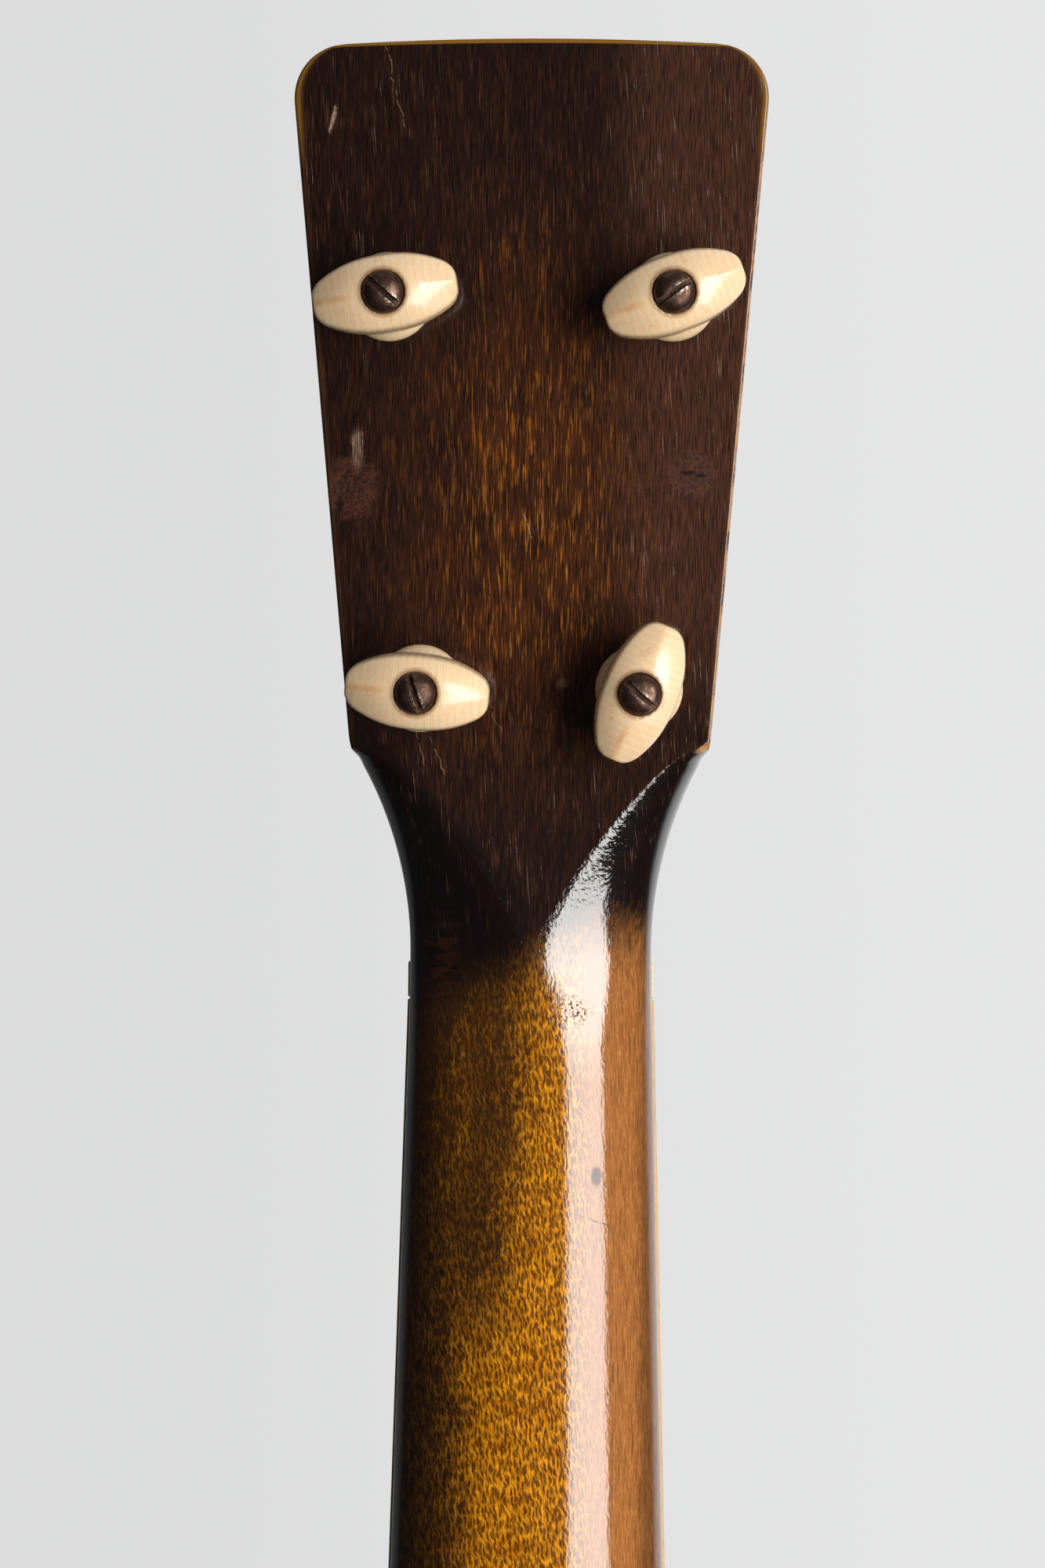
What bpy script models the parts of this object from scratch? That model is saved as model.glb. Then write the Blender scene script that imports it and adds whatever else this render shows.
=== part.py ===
"""Soprano ukulele with four friction pegs, upright, with its back towards -Y.

The origin is on the centre line, where the nut meets the playing face of the fingerboard.
+Z runs up to the top of the head, +Y points out of the strings, and +X is the right side seen from the back.
"""

import math

import bmesh
import bpy
from mathutils import Vector

MM = 0.001
CLEARANCE = 0.3 * MM  # between pieces that touch
FINE_CLEARANCE = 0.15 * MM  # in small fitted seats, such as a fret slot

# Scale and fingerboard
SCALE = 343.0 * MM
FRETS = 12
DOT_FRETS = (5, 7, 10)
DOT_RADIUS = 2.6 * MM
DOT_DEPTH = 1.2 * MM
BOARD_THICKNESS = 3.0 * MM
BOARD_HALF_AT_NUT = 17.75 * MM
BOARD_FLARE = 0.0223  # growth of the half width for each unit of length
BOARD_END = -173.0 * MM
FRET_CROWN_WIDTH = 1.9 * MM
FRET_CROWN_HEIGHT = 0.9 * MM
FRET_TANG_WIDTH = 0.5 * MM
FRET_TANG_DEPTH = 1.4 * MM
NUT_THICKNESS = 5.2 * MM
NUT_RISE = 2.3 * MM

# Neck and head, with s measured from the nut along the neck's front face and then up the head's
NECK_WALL = 12.5 * MM  # wood behind the glue face at the nut, and the head's thickness
NECK_WALL_AT_HEEL = 14.0 * MM
NECK_INSET = 0.35 * MM  # neck's edge inside the fingerboard's
HEAD_PITCH = math.radians(12.0)
HEAD_START = 5.8 * MM
HEAD_TOP = 134.4 * MM
HEAD_CROWN = 0.7 * MM
HEAD_HALF_AT_CORNER = 25.1 * MM
HEAD_FLARE = 0.0828
HEAD_TOP_RADIUS = 8.0 * MM
HEAD_EDGE = 0.6 * MM
CORNER_S = 36.0 * MM
CORNER_RADIUS = 3.2 * MM
COVE_START = 7.0 * MM
COVE_RADIUS = 58.0 * MM
COVE_NECK_HALF = 17.36 * MM
TONGUE_TIP = 4.4 * MM
TONGUE_ROOT = 38.0 * MM
TONGUE_ROOT_HALF = 22.0 * MM
TONGUE_POWER = 1.55
TONGUE_EAR = 2.6 * MM  # how far the flat runs out into the head's corners
TONGUE_EAR_POWER = 16.0
TONGUE_SLOPE = 0.27
TONGUE_FADE = 14.0 * MM  # how far past the tip its crease dies out
BACK_FILLET = 80.0 * MM

# Heel
HEEL_LENGTH = 34.0 * MM
HEEL_DEPTH = 47.0 * MM
HEEL_CAP_HALF = 8.0 * MM
HEEL_POWER = 1.35

# Pegs, as (x, s) of each peg hole and the angle of its wing seen from the back
PEGS = (
    (-19.5 * MM, 99.3 * MM, math.radians(9.5)),
    (19.5 * MM, 99.3 * MM, math.radians(20.0)),
    (-15.2 * MM, 45.4 * MM, math.radians(-5.2)),
    (15.2 * MM, 45.4 * MM, math.radians(68.0)),
)
SCREW_TURNS = (math.radians(-40.0), math.radians(35.0), math.radians(-72.0), math.radians(-42.0))
POST_RADIUS = 2.7 * MM
POST_FRONT = 14.0 * MM
POST_SOCKET = 6.5 * MM
STRING_HOLE_RADIUS = 0.7 * MM
STRING_HOLE_HEIGHT = 8.5 * MM
PEG_BORE = 3.3 * MM
BUSHING_SEAT_RADIUS = 4.5 * MM
BUSHING_SEAT_DEPTH = 6.0 * MM
BUSHING_FLANGE_RADIUS = 5.4 * MM
BUSHING_FLANGE = 1.3 * MM
SKIRT_RADIUS = 6.1 * MM
SKIRT_HEIGHT = 2.6 * MM
WING_HALF_LENGTH = 9.8 * MM
WING_HALF_WIDTH = 5.15 * MM
WING_SIDE_CURVE = 13.0 * MM
WING_TOP = 13.2 * MM
WING_TOP_AT_TIP = 10.4 * MM
WING_ROOF = 1.7 * MM
WING_BASE_AT_TIP = 5.2 * MM
SCREW_HEAD_RADIUS = 2.95 * MM
SCREW_HEAD_HEIGHT = 2.1 * MM
SCREW_SHANK_RADIUS = 1.1 * MM
SCREW_SHANK_LENGTH = 9.0 * MM
SCREW_SLOT_WIDTH = 0.75 * MM
SCREW_SLOT_DEPTH = 1.2 * MM

# Body, with q measured from the neck joint down to the tail
BODY_TOP_Z = -173.0 * MM
BODY_DEPTH = 56.0 * MM
BODY_OUTLINE = (  # half width and q, in millimetres: shoulder, upper bout, waist, lower bout, tail
    (24.0, 0.0),
    (47.0, 7.0),
    (64.0, 34.0),
    (64.5, 62.0),
    (55.0, 99.0),
    (62.0, 128.0),
    (79.5, 157.0),
    (84.5, 187.0),
    (74.0, 220.0),
    (44.0, 236.5),
    (20.0, 239.6),
    (0.0, 240.0),
)
OUTLINE_STEPS = 3
ROUND_STEPS = 40
WING_STEPS = 12
DOME_STEPS = 5
CUTTER_REACH = 2.0 * MM  # how far a cutter reaches past the face that it opens
NUT_SHOULDER = 0.8 * MM
SCREW_SUNK = 1.2 * MM
SCREW_RIM = 0.5 * MM
BRACE_TIP_HEIGHT = 2.0 * MM
BRACE_TAPER = 14.0 * MM
BRIDGE_SLOPE = 5.0 * MM
BRIDGE_PLATE_HALF = 34.0 * MM
BRIDGE_PLATE_THICKNESS = 2.0 * MM
BRIDGE_PLATE_BACK = 15.0 * MM
BRIDGE_PLATE_FRONT = 9.0 * MM
SADDLE_END_DROP = 1.6 * MM
SADDLE_TOP_DROP = 0.75 * MM
SADDLE_END_SLOPE = 3.0 * MM
STRING_GAP_AT_POST = 0.25 * MM
STRING_HEIGHT_AT_POST = 4.6 * MM
STRING_DEPTH_IN_SLOT = 2.4 * MM
PLATE_THICKNESS = 2.0 * MM
RIB_THICKNESS = 1.8 * MM
BINDING_WIDTH = 1.6 * MM
BINDING_HEIGHT = 3.4 * MM
LINING_WIDTH = 4.5 * MM
LINING_HEIGHT = 7.0 * MM
SOUND_HOLE_Q = 88.0 * MM
SOUND_HOLE_RADIUS = 23.0 * MM
ROSETTE_INNER = 26.0 * MM
ROSETTE_OUTER = 30.0 * MM
ROSETTE_DEPTH = 0.8 * MM
NECK_BLOCK_HALF = 23.0 * MM
NECK_BLOCK_LENGTH = 18.0 * MM
TAIL_BLOCK_HALF = 24.0 * MM
TAIL_BLOCK_LENGTH = 12.0 * MM
DOWEL_RADIUS = 4.0 * MM
DOWEL_IN_HEEL = 10.0 * MM
DOWEL_IN_BLOCK = 15.0 * MM
DOWEL_Y = -19.0 * MM
BRACE_WIDTH = 6.0 * MM
BRACE_HEIGHT = 8.0 * MM
TOP_BRACE_QS = (56.0 * MM, 120.0 * MM)
BACK_BRACE_QS = (62.0 * MM, 160.0 * MM)

# Bridge, saddle and strings
SADDLE_Z = -SCALE - 1.5 * MM
SADDLE_HALF = 25.0 * MM
SADDLE_WIDTH = 2.4 * MM
SADDLE_SEAT = 3.4 * MM
BRIDGE_CENTRE_HALF = 27.0 * MM
BRIDGE_HALF = 42.0 * MM
BRIDGE_FRONT = 6.0 * MM
BRIDGE_BACK = 13.0 * MM
BRIDGE_HEIGHT = 6.2 * MM
BRIDGE_WING_HEIGHT = 2.6 * MM
STRING_SLOT_WIDTH = 1.6 * MM
STRING_SLOT_DEPTH = 3.6 * MM
STRING_SLOT_LENGTH = 5.0 * MM
STRING_RADII = (0.31 * MM, 0.4 * MM, 0.35 * MM, 0.31 * MM)
NUT_STRINGS = (-13.2 * MM, -4.4 * MM, 4.4 * MM, 13.2 * MM)
BRIDGE_STRINGS = (-20.4 * MM, -6.8 * MM, 6.8 * MM, 20.4 * MM)
STRING_PEGS = (2, 0, 1, 3)  # index of the peg that each string winds on
STRING_Y_AT_NUT = 2.0 * MM
STRING_Y_AT_SADDLE = 5.6 * MM

GLUE_Y = -BOARD_THICKNESS
BODY_FRONT_Y = GLUE_Y
BODY_BACK_Y = GLUE_Y - BODY_DEPTH


# Scene and mesh helpers


def clear_scene():
    for obj in list(bpy.data.objects):
        bpy.data.objects.remove(obj)


def paint(name, colour, roughness, metallic=0.0):
    """A plain Principled material."""
    material = bpy.data.materials.new(name)
    material.use_nodes = True
    shader = material.node_tree.nodes["Principled BSDF"]
    shader.inputs["Base Color"].default_value = (*colour, 1.0)
    shader.inputs["Roughness"].default_value = roughness
    shader.inputs["Metallic"].default_value = metallic
    return material


def add_empty(name, location, rotation=(0.0, 0.0, 0.0), parent=None):
    empty = bpy.data.objects.new(name, None)
    empty.location = location
    empty.rotation_euler = rotation
    empty.parent = parent
    bpy.context.scene.collection.objects.link(empty)
    return empty


def add_solid(name, bm, material, parent=None, smooth=True):
    """An object from a bmesh, with its faces turned outwards."""
    bmesh.ops.recalc_face_normals(bm, faces=bm.faces)
    mesh = bpy.data.meshes.new(name)
    bm.to_mesh(mesh)
    bm.free()
    mesh.materials.append(material)
    if smooth:
        mesh.shade_smooth()
        mesh.set_sharp_from_angle(angle=math.radians(35.0))
    obj = bpy.data.objects.new(name, mesh)
    obj.parent = parent
    bpy.context.scene.collection.objects.link(obj)
    return obj


def add_cutter(name, bm, parent=None):
    """A hidden helper, which Booleans take away from the pieces."""
    cutter = add_solid(name, bm, None, parent, smooth=False)
    cutter.hide_render = True
    cutter.display_type = "WIRE"
    return cutter


def combine(obj, other, operation="DIFFERENCE"):
    modifier = obj.modifiers.new(f"{operation.title()} {other.name}", "BOOLEAN")
    modifier.operation = operation
    modifier.solver = "EXACT"
    modifier.object = other


def add_loop(bm, points):
    """A closed loop of edges through the points."""
    verts = [bm.verts.new(point) for point in points]
    return [bm.edges.new((verts[i - 1], vert)) for i, vert in enumerate(verts)]


def lofted(sections):
    """A solid whose skin joins each section to the next, with its two ends filled."""
    bm = bmesh.new()
    loops = [add_loop(bm, points) for points in sections]
    for lower, upper in zip(loops, loops[1:]):
        bmesh.ops.bridge_loops(bm, edges=lower + upper)
    for end in (loops[0], loops[-1]):
        bmesh.ops.contextual_create(bm, geom=end)
    return bm


def thicken(bm, direction):
    """Extrudes all faces of a flat sheet into a solid."""
    made = bmesh.ops.extrude_face_region(bm, geom=bm.faces[:])
    verts = [item for item in made["geom"] if isinstance(item, bmesh.types.BMVert)]
    bmesh.ops.translate(bm, verts=verts, vec=direction)
    return bm


def prism(points, direction):
    """A flat outline extruded along a direction."""
    bm = bmesh.new()
    bmesh.ops.contextual_create(bm, geom=add_loop(bm, points))
    return thicken(bm, direction)


def band(outer, inner, direction):
    """The ring between two closed outlines of the same number of points, extruded."""
    bm = bmesh.new()
    bmesh.ops.bridge_loops(bm, edges=add_loop(bm, outer) + add_loop(bm, inner))
    return thicken(bm, direction)


def box(low, high):
    bm = bmesh.new()
    bmesh.ops.create_cube(bm, size=1.0)
    low, high = Vector(low), Vector(high)
    bmesh.ops.scale(bm, vec=high - low, verts=bm.verts)
    bmesh.ops.translate(bm, vec=(low + high) / 2, verts=bm.verts)
    return bm


def turned(profile, steps=16, closed=False):
    """A profile of (radius, height) points turned about Z. A closed profile makes a ring."""
    bm = bmesh.new()
    verts = [bm.verts.new((radius, 0.0, height)) for radius, height in profile]
    pairs = list(zip(verts, verts[1:])) + ([(verts[-1], verts[0])] if closed else [])
    edges = [bm.edges.new(pair) for pair in pairs]
    bmesh.ops.spin(
        bm,
        geom=verts + edges,
        axis=(0.0, 0.0, 1.0),
        cent=(0.0, 0.0, 0.0),
        angle=2.0 * math.pi,
        steps=steps,
        use_merge=True,
    )
    bmesh.ops.remove_doubles(bm, verts=bm.verts, dist=1e-7)
    return bm


def circle_xz(radius, y, z, steps=32):
    return [
        Vector((radius * math.cos(turn), y, z + radius * math.sin(turn)))
        for turn in (2.0 * math.pi * i / steps for i in range(steps))
    ]


def smoothstep(low, high, value):
    t = min(1.0, max(0.0, (value - low) / (high - low)))
    return t * t * (3.0 - 2.0 * t)


# Neck and head


def board_half(z):
    """Half width of the fingerboard."""
    return BOARD_HALF_AT_NUT - BOARD_FLARE * z


def head_side_half(s):
    return HEAD_HALF_AT_CORNER + HEAD_FLARE * (s - CORNER_S)


def cove_half(s):
    """Half width on the hollow curve between the neck and the head's corner."""
    along = max(0.0, s - COVE_START)
    return COVE_NECK_HALF + COVE_RADIUS - math.sqrt(COVE_RADIUS**2 - along**2)


def outline_half(s):
    """Half width of the neck and head at s."""
    if s <= 0.0:
        return board_half(s) - NECK_INSET
    if s <= COVE_START:
        return COVE_NECK_HALF + (BOARD_HALF_AT_NUT - NECK_INSET - COVE_NECK_HALF) * (1.0 - s / COVE_START)
    if s < CORNER_S - CORNER_RADIUS:
        return cove_half(s)
    half = head_side_half(s)
    if s < CORNER_S + CORNER_RADIUS:
        start = CORNER_S - CORNER_RADIUS
        t = (s - start) / (2.0 * CORNER_RADIUS)
        ends = (cove_half(start), HEAD_HALF_AT_CORNER, head_side_half(CORNER_S + CORNER_RADIUS))
        return (1 - t) ** 2 * ends[0] + 2 * t * (1 - t) * ends[1] + t * t * ends[2]
    drop = s - (HEAD_TOP - HEAD_CROWN - HEAD_TOP_RADIUS)
    if drop > 0.0:
        drop = min(drop, HEAD_TOP_RADIUS)
        half -= HEAD_TOP_RADIUS - math.sqrt(HEAD_TOP_RADIUS**2 - drop**2)
    return half


def tongue_half(s):
    """Half width of the flat on the head's back, which narrows to a tongue on the neck."""
    t = max(0.0, s - TONGUE_TIP) / (TONGUE_ROOT - TONGUE_TIP)
    half = TONGUE_ROOT_HALF * t**TONGUE_POWER + TONGUE_EAR * t**TONGUE_EAR_POWER
    return min(half, outline_half(s) - HEAD_EDGE)


def front_point(s):
    """(y, z) of the front face at s."""
    past = max(0.0, s - HEAD_START)
    return Vector((GLUE_Y - past * math.sin(HEAD_PITCH), min(s, HEAD_START) + past * math.cos(HEAD_PITCH)))


def heel_share(s):
    """0 on the neck's shaft, 1 at the body."""
    return max(0.0, (BOARD_END + HEEL_LENGTH - s) / HEEL_LENGTH)


def back_point(s):
    """(y, z) of the back's centre line at s: the shaft, an arc, then the head's flat back."""
    neck_y = GLUE_Y - NECK_WALL
    up_head = Vector((-math.sin(HEAD_PITCH), math.cos(HEAD_PITCH)))
    out_of_back = Vector((-math.cos(HEAD_PITCH), -math.sin(HEAD_PITCH)))
    head_line = front_point(HEAD_START) + NECK_WALL * out_of_back
    meet = head_line + up_head * (head_line.x - neck_y) / math.sin(HEAD_PITCH)
    reach = BACK_FILLET * math.tan(HEAD_PITCH / 2.0)
    arc_start = meet.y - reach
    arc_end = HEAD_START + (meet - head_line).length + reach
    if s <= arc_start:
        slope = (NECK_WALL_AT_HEEL - NECK_WALL) / (BOARD_END - arc_start)
        shaft = GLUE_Y - NECK_WALL - slope * (s - arc_start)
        curve = 1.0 - math.sqrt(1.0 - min(1.0, heel_share(s)) ** 2 * 0.999)
        return Vector((shaft + (GLUE_Y - HEEL_DEPTH - shaft) * curve, s))
    if s >= arc_end:
        return front_point(s) + NECK_WALL * out_of_back
    turn = HEAD_PITCH * (s - arc_start) / (arc_end - arc_start)
    return Vector((neck_y - BACK_FILLET * (1.0 - math.cos(turn)), arc_start + BACK_FILLET * math.sin(turn)))


def neck_section(s, corner_steps=7):
    """The closed outline across the neck at s: flat front, and a back rounded on both sides of its flat."""
    front, back = front_point(s), back_point(s)
    depth = (back - front).length
    outward = (back - front) / depth
    share = smoothstep(0.0, 1.0, heel_share(s))
    half = outline_half(s)
    flat = tongue_half(s) + 0.15 * MM + HEEL_CAP_HALF * share
    edge = half - flat
    in_head = smoothstep(CORNER_S - 1.5 * MM, CORNER_S + 1.0 * MM, s)
    rounding = (depth - CLEARANCE) * (1.0 - in_head) + HEAD_EDGE * in_head
    crease = TONGUE_SLOPE * smoothstep(-TONGUE_FADE, TONGUE_TIP + 3.0 * MM, s) * (1.0 - in_head)
    power = 2.0 + (HEEL_POWER - 2.0) * share
    right = []
    for i in range(corner_steps + 1):
        turn = math.pi / 2.0 * i / corner_steps
        across = math.sin(turn) ** (2.0 / power)
        rise = math.cos(turn) ** (2.0 / power)
        lift = crease * edge * across + (rounding - crease * edge) * (1.0 - rise)
        right.append((flat + edge * across, depth - lift))
    right.append((half, 0.0))
    right = [(flat / 2.0, depth), *right, (flat / 2.0, 0.0)]
    points = [(0.0, depth), *right, (0.0, 0.0)] + [(-x, y) for x, y in reversed(right)]
    crown = HEAD_CROWN * smoothstep(HEAD_TOP - 2.0 * HEAD_TOP_RADIUS, HEAD_TOP - HEAD_CROWN, s)
    up_the_head = Vector((outward.y, -outward.x))
    section = []
    for x, along in points:
        up = crown * (1.0 - (x / half) ** 2)
        place = front + outward * along + up_the_head * up
        section.append(Vector((x, place.x, place.y)))
    return section


def neck_stations():
    """Where the neck is cut into sections: close together where its shape turns."""
    heel = [BOARD_END + CLEARANCE + HEEL_LENGTH * (1.0 - math.cos(math.pi / 2.0 * i / 9)) for i in range(10)]
    shaft = [-120.0 * MM, -90.0 * MM, -55.0 * MM, -30.0 * MM]
    transition = [(-16.0 + 2.2 * i) * MM for i in range(10)]
    seat = [HEAD_START]
    cove = [(8.0 + 2.4 * i) * MM for i in range(11)]
    corner = [CORNER_S + step * MM for step in (-3.2, -2.4, -1.5, -0.6, 0.3, 1.2, 2.2, 3.4)]
    side = [70.0 * MM, 100.0 * MM]
    arc_start = HEAD_TOP - HEAD_CROWN - HEAD_TOP_RADIUS
    top = [arc_start + HEAD_TOP_RADIUS * math.sin(math.pi / 2.0 * i / 9) for i in range(-3, 9)]
    return heel + shaft + transition + seat + cove + corner + side + top


def make_neck(wood):
    return add_solid("neck", lofted([neck_section(s) for s in neck_stations()]), wood)


# Fingerboard, frets and nut


def fret_z(number):
    return -SCALE * (1.0 - 2.0 ** (-number / 12.0))


def tapered_along_x(bm, inset=0.0):
    """Moves a prism's two ends, at x -1 and +1, onto the fingerboard's tapering sides."""
    for vert in bm.verts:
        vert.co.x = math.copysign(board_half(vert.co.z) - inset, vert.co.x)
    return bm


def make_fingerboard(ebony):
    half_slot = FRET_TANG_WIDTH / 2.0 + FINE_CLEARANCE
    slot_floor = -FRET_TANG_DEPTH - FINE_CLEARANCE
    top = [(-CLEARANCE, 0.0)]
    for number in range(1, FRETS + 1):
        z = fret_z(number)
        top += [(z + half_slot, 0.0), (z + half_slot, slot_floor)]
        top += [(z - half_slot, slot_floor), (z - half_slot, 0.0)]
    top.append((BOARD_END, 0.0))
    bottom = GLUE_Y + CLEARANCE
    profile = top + [(BOARD_END, bottom), (-CLEARANCE, bottom)]
    bm = prism([Vector((-1.0, y, z)) for z, y in profile], Vector((2.0, 0.0, 0.0)))
    board = add_solid("fingerboard", tapered_along_x(bm), ebony, smooth=False)
    for number in DOT_FRETS:
        floor = -DOT_DEPTH - FINE_CLEARANCE
        seat = turned_along_y(DOT_RADIUS + FINE_CLEARANCE, floor, CUTTER_REACH, dot_z(number))
        combine(board, add_cutter(f"dot_seat_{number}", seat))
    return board


def turned_along_y(radius, y_low, y_high, z, steps=16):
    return prism(circle_xz(radius, y_low, z, steps), Vector((0.0, y_high - y_low, 0.0)))


def dot_z(number):
    return (fret_z(number) + fret_z(number - 1)) / 2.0


def make_dots(pearl):
    for number in DOT_FRETS:
        add_solid(f"position_dot_{number}", turned_along_y(DOT_RADIUS, -DOT_DEPTH, 0.0, dot_z(number)), pearl)


def make_frets(wire):
    """Each fret is a low crown on a thin tang."""
    half, tang = FRET_CROWN_WIDTH / 2.0, FRET_TANG_WIDTH / 2.0
    crown = [
        (half * math.cos(turn), FINE_CLEARANCE + FRET_CROWN_HEIGHT * math.sin(turn))
        for turn in (math.pi * i / 8 for i in range(9))
    ]
    profile = crown + [
        (-tang, FINE_CLEARANCE),
        (-tang, -FRET_TANG_DEPTH),
        (tang, -FRET_TANG_DEPTH),
        (tang, FINE_CLEARANCE),
    ]
    for number in range(1, FRETS + 1):
        points = [Vector((-1.0, y, fret_z(number) + z)) for z, y in profile]
        bm = tapered_along_x(prism(points, Vector((2.0, 0.0, 0.0))), inset=0.2 * MM)
        add_solid(f"fret_{number:02d}", bm, wire)


def make_nut(bone):
    """A bar across the neck with a notch for each string."""
    top = NUT_RISE
    bottom = GLUE_Y + CLEARANCE
    shoulder = top - NUT_SHOULDER
    points = [Vector((-BOARD_HALF_AT_NUT, bottom, 0.0)), Vector((-BOARD_HALF_AT_NUT, shoulder, 0.0))]
    for x, radius in zip(NUT_STRINGS, STRING_RADII):
        width = radius + CLEARANCE
        floor = STRING_Y_AT_NUT - width
        points += [Vector((x - width, y, 0.0)) for y in (top, floor)]
        points += [Vector((x + width, y, 0.0)) for y in (floor, top)]
    points += [Vector((BOARD_HALF_AT_NUT, shoulder, 0.0)), Vector((BOARD_HALF_AT_NUT, bottom, 0.0))]
    add_solid("nut", prism(points, Vector((0.0, 0.0, NUT_THICKNESS))), bone, smooth=False)


# Friction pegs, in the head's own frame: X across, Y up the head, Z out of its back, front face at Z 0


def make_head_frame():
    y, z = front_point(HEAD_START)
    return add_empty("head_frame", (0.0, y, z), (math.pi / 2.0 + HEAD_PITCH, 0.0, 0.0))


def button_section(x):
    """The wing's outline across its length: a low roof on straight sides, drawn in at the base."""
    t = abs(x) / WING_HALF_LENGTH
    half = WING_HALF_WIDTH - x * x / (2.0 * WING_SIDE_CURVE)
    top = WING_TOP - (WING_TOP - WING_TOP_AT_TIP) * t**2.2
    base = SKIRT_HEIGHT - 1.0 * MM + (WING_BASE_AT_TIP - SKIRT_HEIGHT + 1.0 * MM) * t**1.6
    roof = WING_ROOF * half / WING_HALF_WIDTH
    right = [
        (0.0, top),
        (0.55 * half, top - 0.5 * roof),
        (0.93 * half, top - roof),
        (half, top - roof - 1.2 * MM),
        (0.97 * half, (top + base) / 2.0),
        (0.8 * half, base + 0.8 * MM),
        (0.5 * half, base),
    ]
    points = right + [(-y, z) for y, z in reversed(right[1:])]
    return [Vector((x, y, z)) for y, z in points]


def make_button(number, frame, ivoroid):
    """The finger button: a turned skirt with a lens-shaped wing, bored for the post and the screw."""
    skirt = add_solid(
        f"peg_button_{number}",
        turned(
            [
                (0.0, 0.0),
                (SKIRT_RADIUS - 0.5 * MM, 0.0),
                (SKIRT_RADIUS, 0.5 * MM),
                (SKIRT_RADIUS, 1.3 * MM),
                (SKIRT_RADIUS - 1.1 * MM, SKIRT_HEIGHT),
                (0.0, SKIRT_HEIGHT + 0.5 * MM),
            ]
        ),
        ivoroid,
        frame,
    )
    turns = [math.pi * (i / WING_STEPS - 0.5) for i in range(WING_STEPS + 1)]
    stations = [WING_HALF_LENGTH * math.sin(turn) for turn in turns]
    wing = add_cutter(f"wing_shape_{number}", lofted([button_section(x) for x in stations]), frame)
    combine(skirt, wing, "UNION")
    bore = turned(
        [
            (0.0, -1.0 * MM),
            (POST_RADIUS + CLEARANCE, -1.0 * MM),
            (POST_RADIUS + CLEARANCE, POST_SOCKET + CLEARANCE),
            (SCREW_SHANK_RADIUS + CLEARANCE, POST_SOCKET + CLEARANCE),
            (SCREW_SHANK_RADIUS + CLEARANCE, WING_TOP - SCREW_SUNK),
            (SCREW_HEAD_RADIUS + CLEARANCE, WING_TOP - SCREW_SUNK),
            (SCREW_HEAD_RADIUS + CLEARANCE, WING_TOP + 2.0 * MM),
            (0.0, WING_TOP + 2.0 * MM),
        ],
    )
    combine(skirt, add_cutter(f"button_bore_{number}", bore, frame))


def make_screw(number, frame, steel):
    """Round head with a slot, and a plain shank that ends in the post."""
    seat = WING_TOP - SCREW_SUNK + CLEARANCE
    dome_height = SCREW_HEAD_HEIGHT - SCREW_RIM
    turns = [math.pi / 2.0 * i / DOME_STEPS for i in range(DOME_STEPS)]
    dome = []
    for turn in turns:
        dome.append((SCREW_HEAD_RADIUS * math.cos(turn), seat + SCREW_RIM + dome_height * math.sin(turn)))
    profile = [
        (0.0, seat - SCREW_SHANK_LENGTH),
        (SCREW_SHANK_RADIUS, seat - SCREW_SHANK_LENGTH),
        (SCREW_SHANK_RADIUS, seat),
        (SCREW_HEAD_RADIUS, seat),
        *dome,
        (0.0, seat + SCREW_HEAD_HEIGHT),
    ]
    screw = add_solid(f"peg_screw_{number}", turned(profile), steel, frame)
    slot = box(
        (-4.0 * MM, -SCREW_SLOT_WIDTH / 2.0, seat + SCREW_HEAD_HEIGHT - SCREW_SLOT_DEPTH),
        (4.0 * MM, SCREW_SLOT_WIDTH / 2.0, seat + 2.0 * SCREW_HEAD_HEIGHT),
    )
    cutter = add_cutter(f"slot_shape_{number}", slot, frame)
    cutter.rotation_euler.z = SCREW_TURNS[number - 1]
    combine(screw, cutter)


def make_post(number, frame, nickel):
    """The shaft: string hole in front, bored behind for the screw."""
    front = -NECK_WALL - CLEARANCE - POST_FRONT
    profile = [
        (0.0, front),
        (POST_RADIUS - 0.9 * MM, front),
        (POST_RADIUS, front + 0.9 * MM),
        (POST_RADIUS, front + 3.0 * MM),
        (POST_RADIUS - 0.5 * MM, front + 4.0 * MM),
        (POST_RADIUS - 0.5 * MM, front + 8.0 * MM),
        (POST_RADIUS, front + 9.0 * MM),
        (POST_RADIUS, POST_SOCKET),
        (SCREW_SHANK_RADIUS + CLEARANCE, POST_SOCKET),
        (SCREW_SHANK_RADIUS + CLEARANCE, POST_SOCKET - 8.0 * MM),
        (0.0, POST_SOCKET - 8.0 * MM),
    ]
    post = add_solid(f"peg_post_{number}", turned(profile), nickel, frame)
    hole_z = front + POST_FRONT - STRING_HOLE_HEIGHT
    hole = prism(
        [Vector((-5.0 * MM, p.x, hole_z + p.z)) for p in circle_xz(STRING_HOLE_RADIUS, 0.0, 0.0, 8)],
        Vector((10.0 * MM, 0.0, 0.0)),
    )
    combine(post, add_cutter(f"string_hole_{number}", hole, frame))


def make_bushing(number, frame, nickel):
    """The front ferrule: a domed flange on a sleeve that is pressed into the head."""
    inner = POST_RADIUS + CLEARANCE
    sleeve = BUSHING_SEAT_RADIUS - FINE_CLEARANCE
    profile = [
        (inner, BUSHING_SEAT_DEPTH - CLEARANCE),
        (inner, -BUSHING_FLANGE),
        (POST_RADIUS + 1.6 * MM, -BUSHING_FLANGE),
        (BUSHING_FLANGE_RADIUS, -0.6 * MM),
        (BUSHING_FLANGE_RADIUS, -FINE_CLEARANCE),
        (sleeve, -FINE_CLEARANCE),
        (sleeve, BUSHING_SEAT_DEPTH - CLEARANCE),
    ]
    add_solid(f"front_bushing_{number}", turned(profile, closed=True), nickel, frame)


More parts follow.
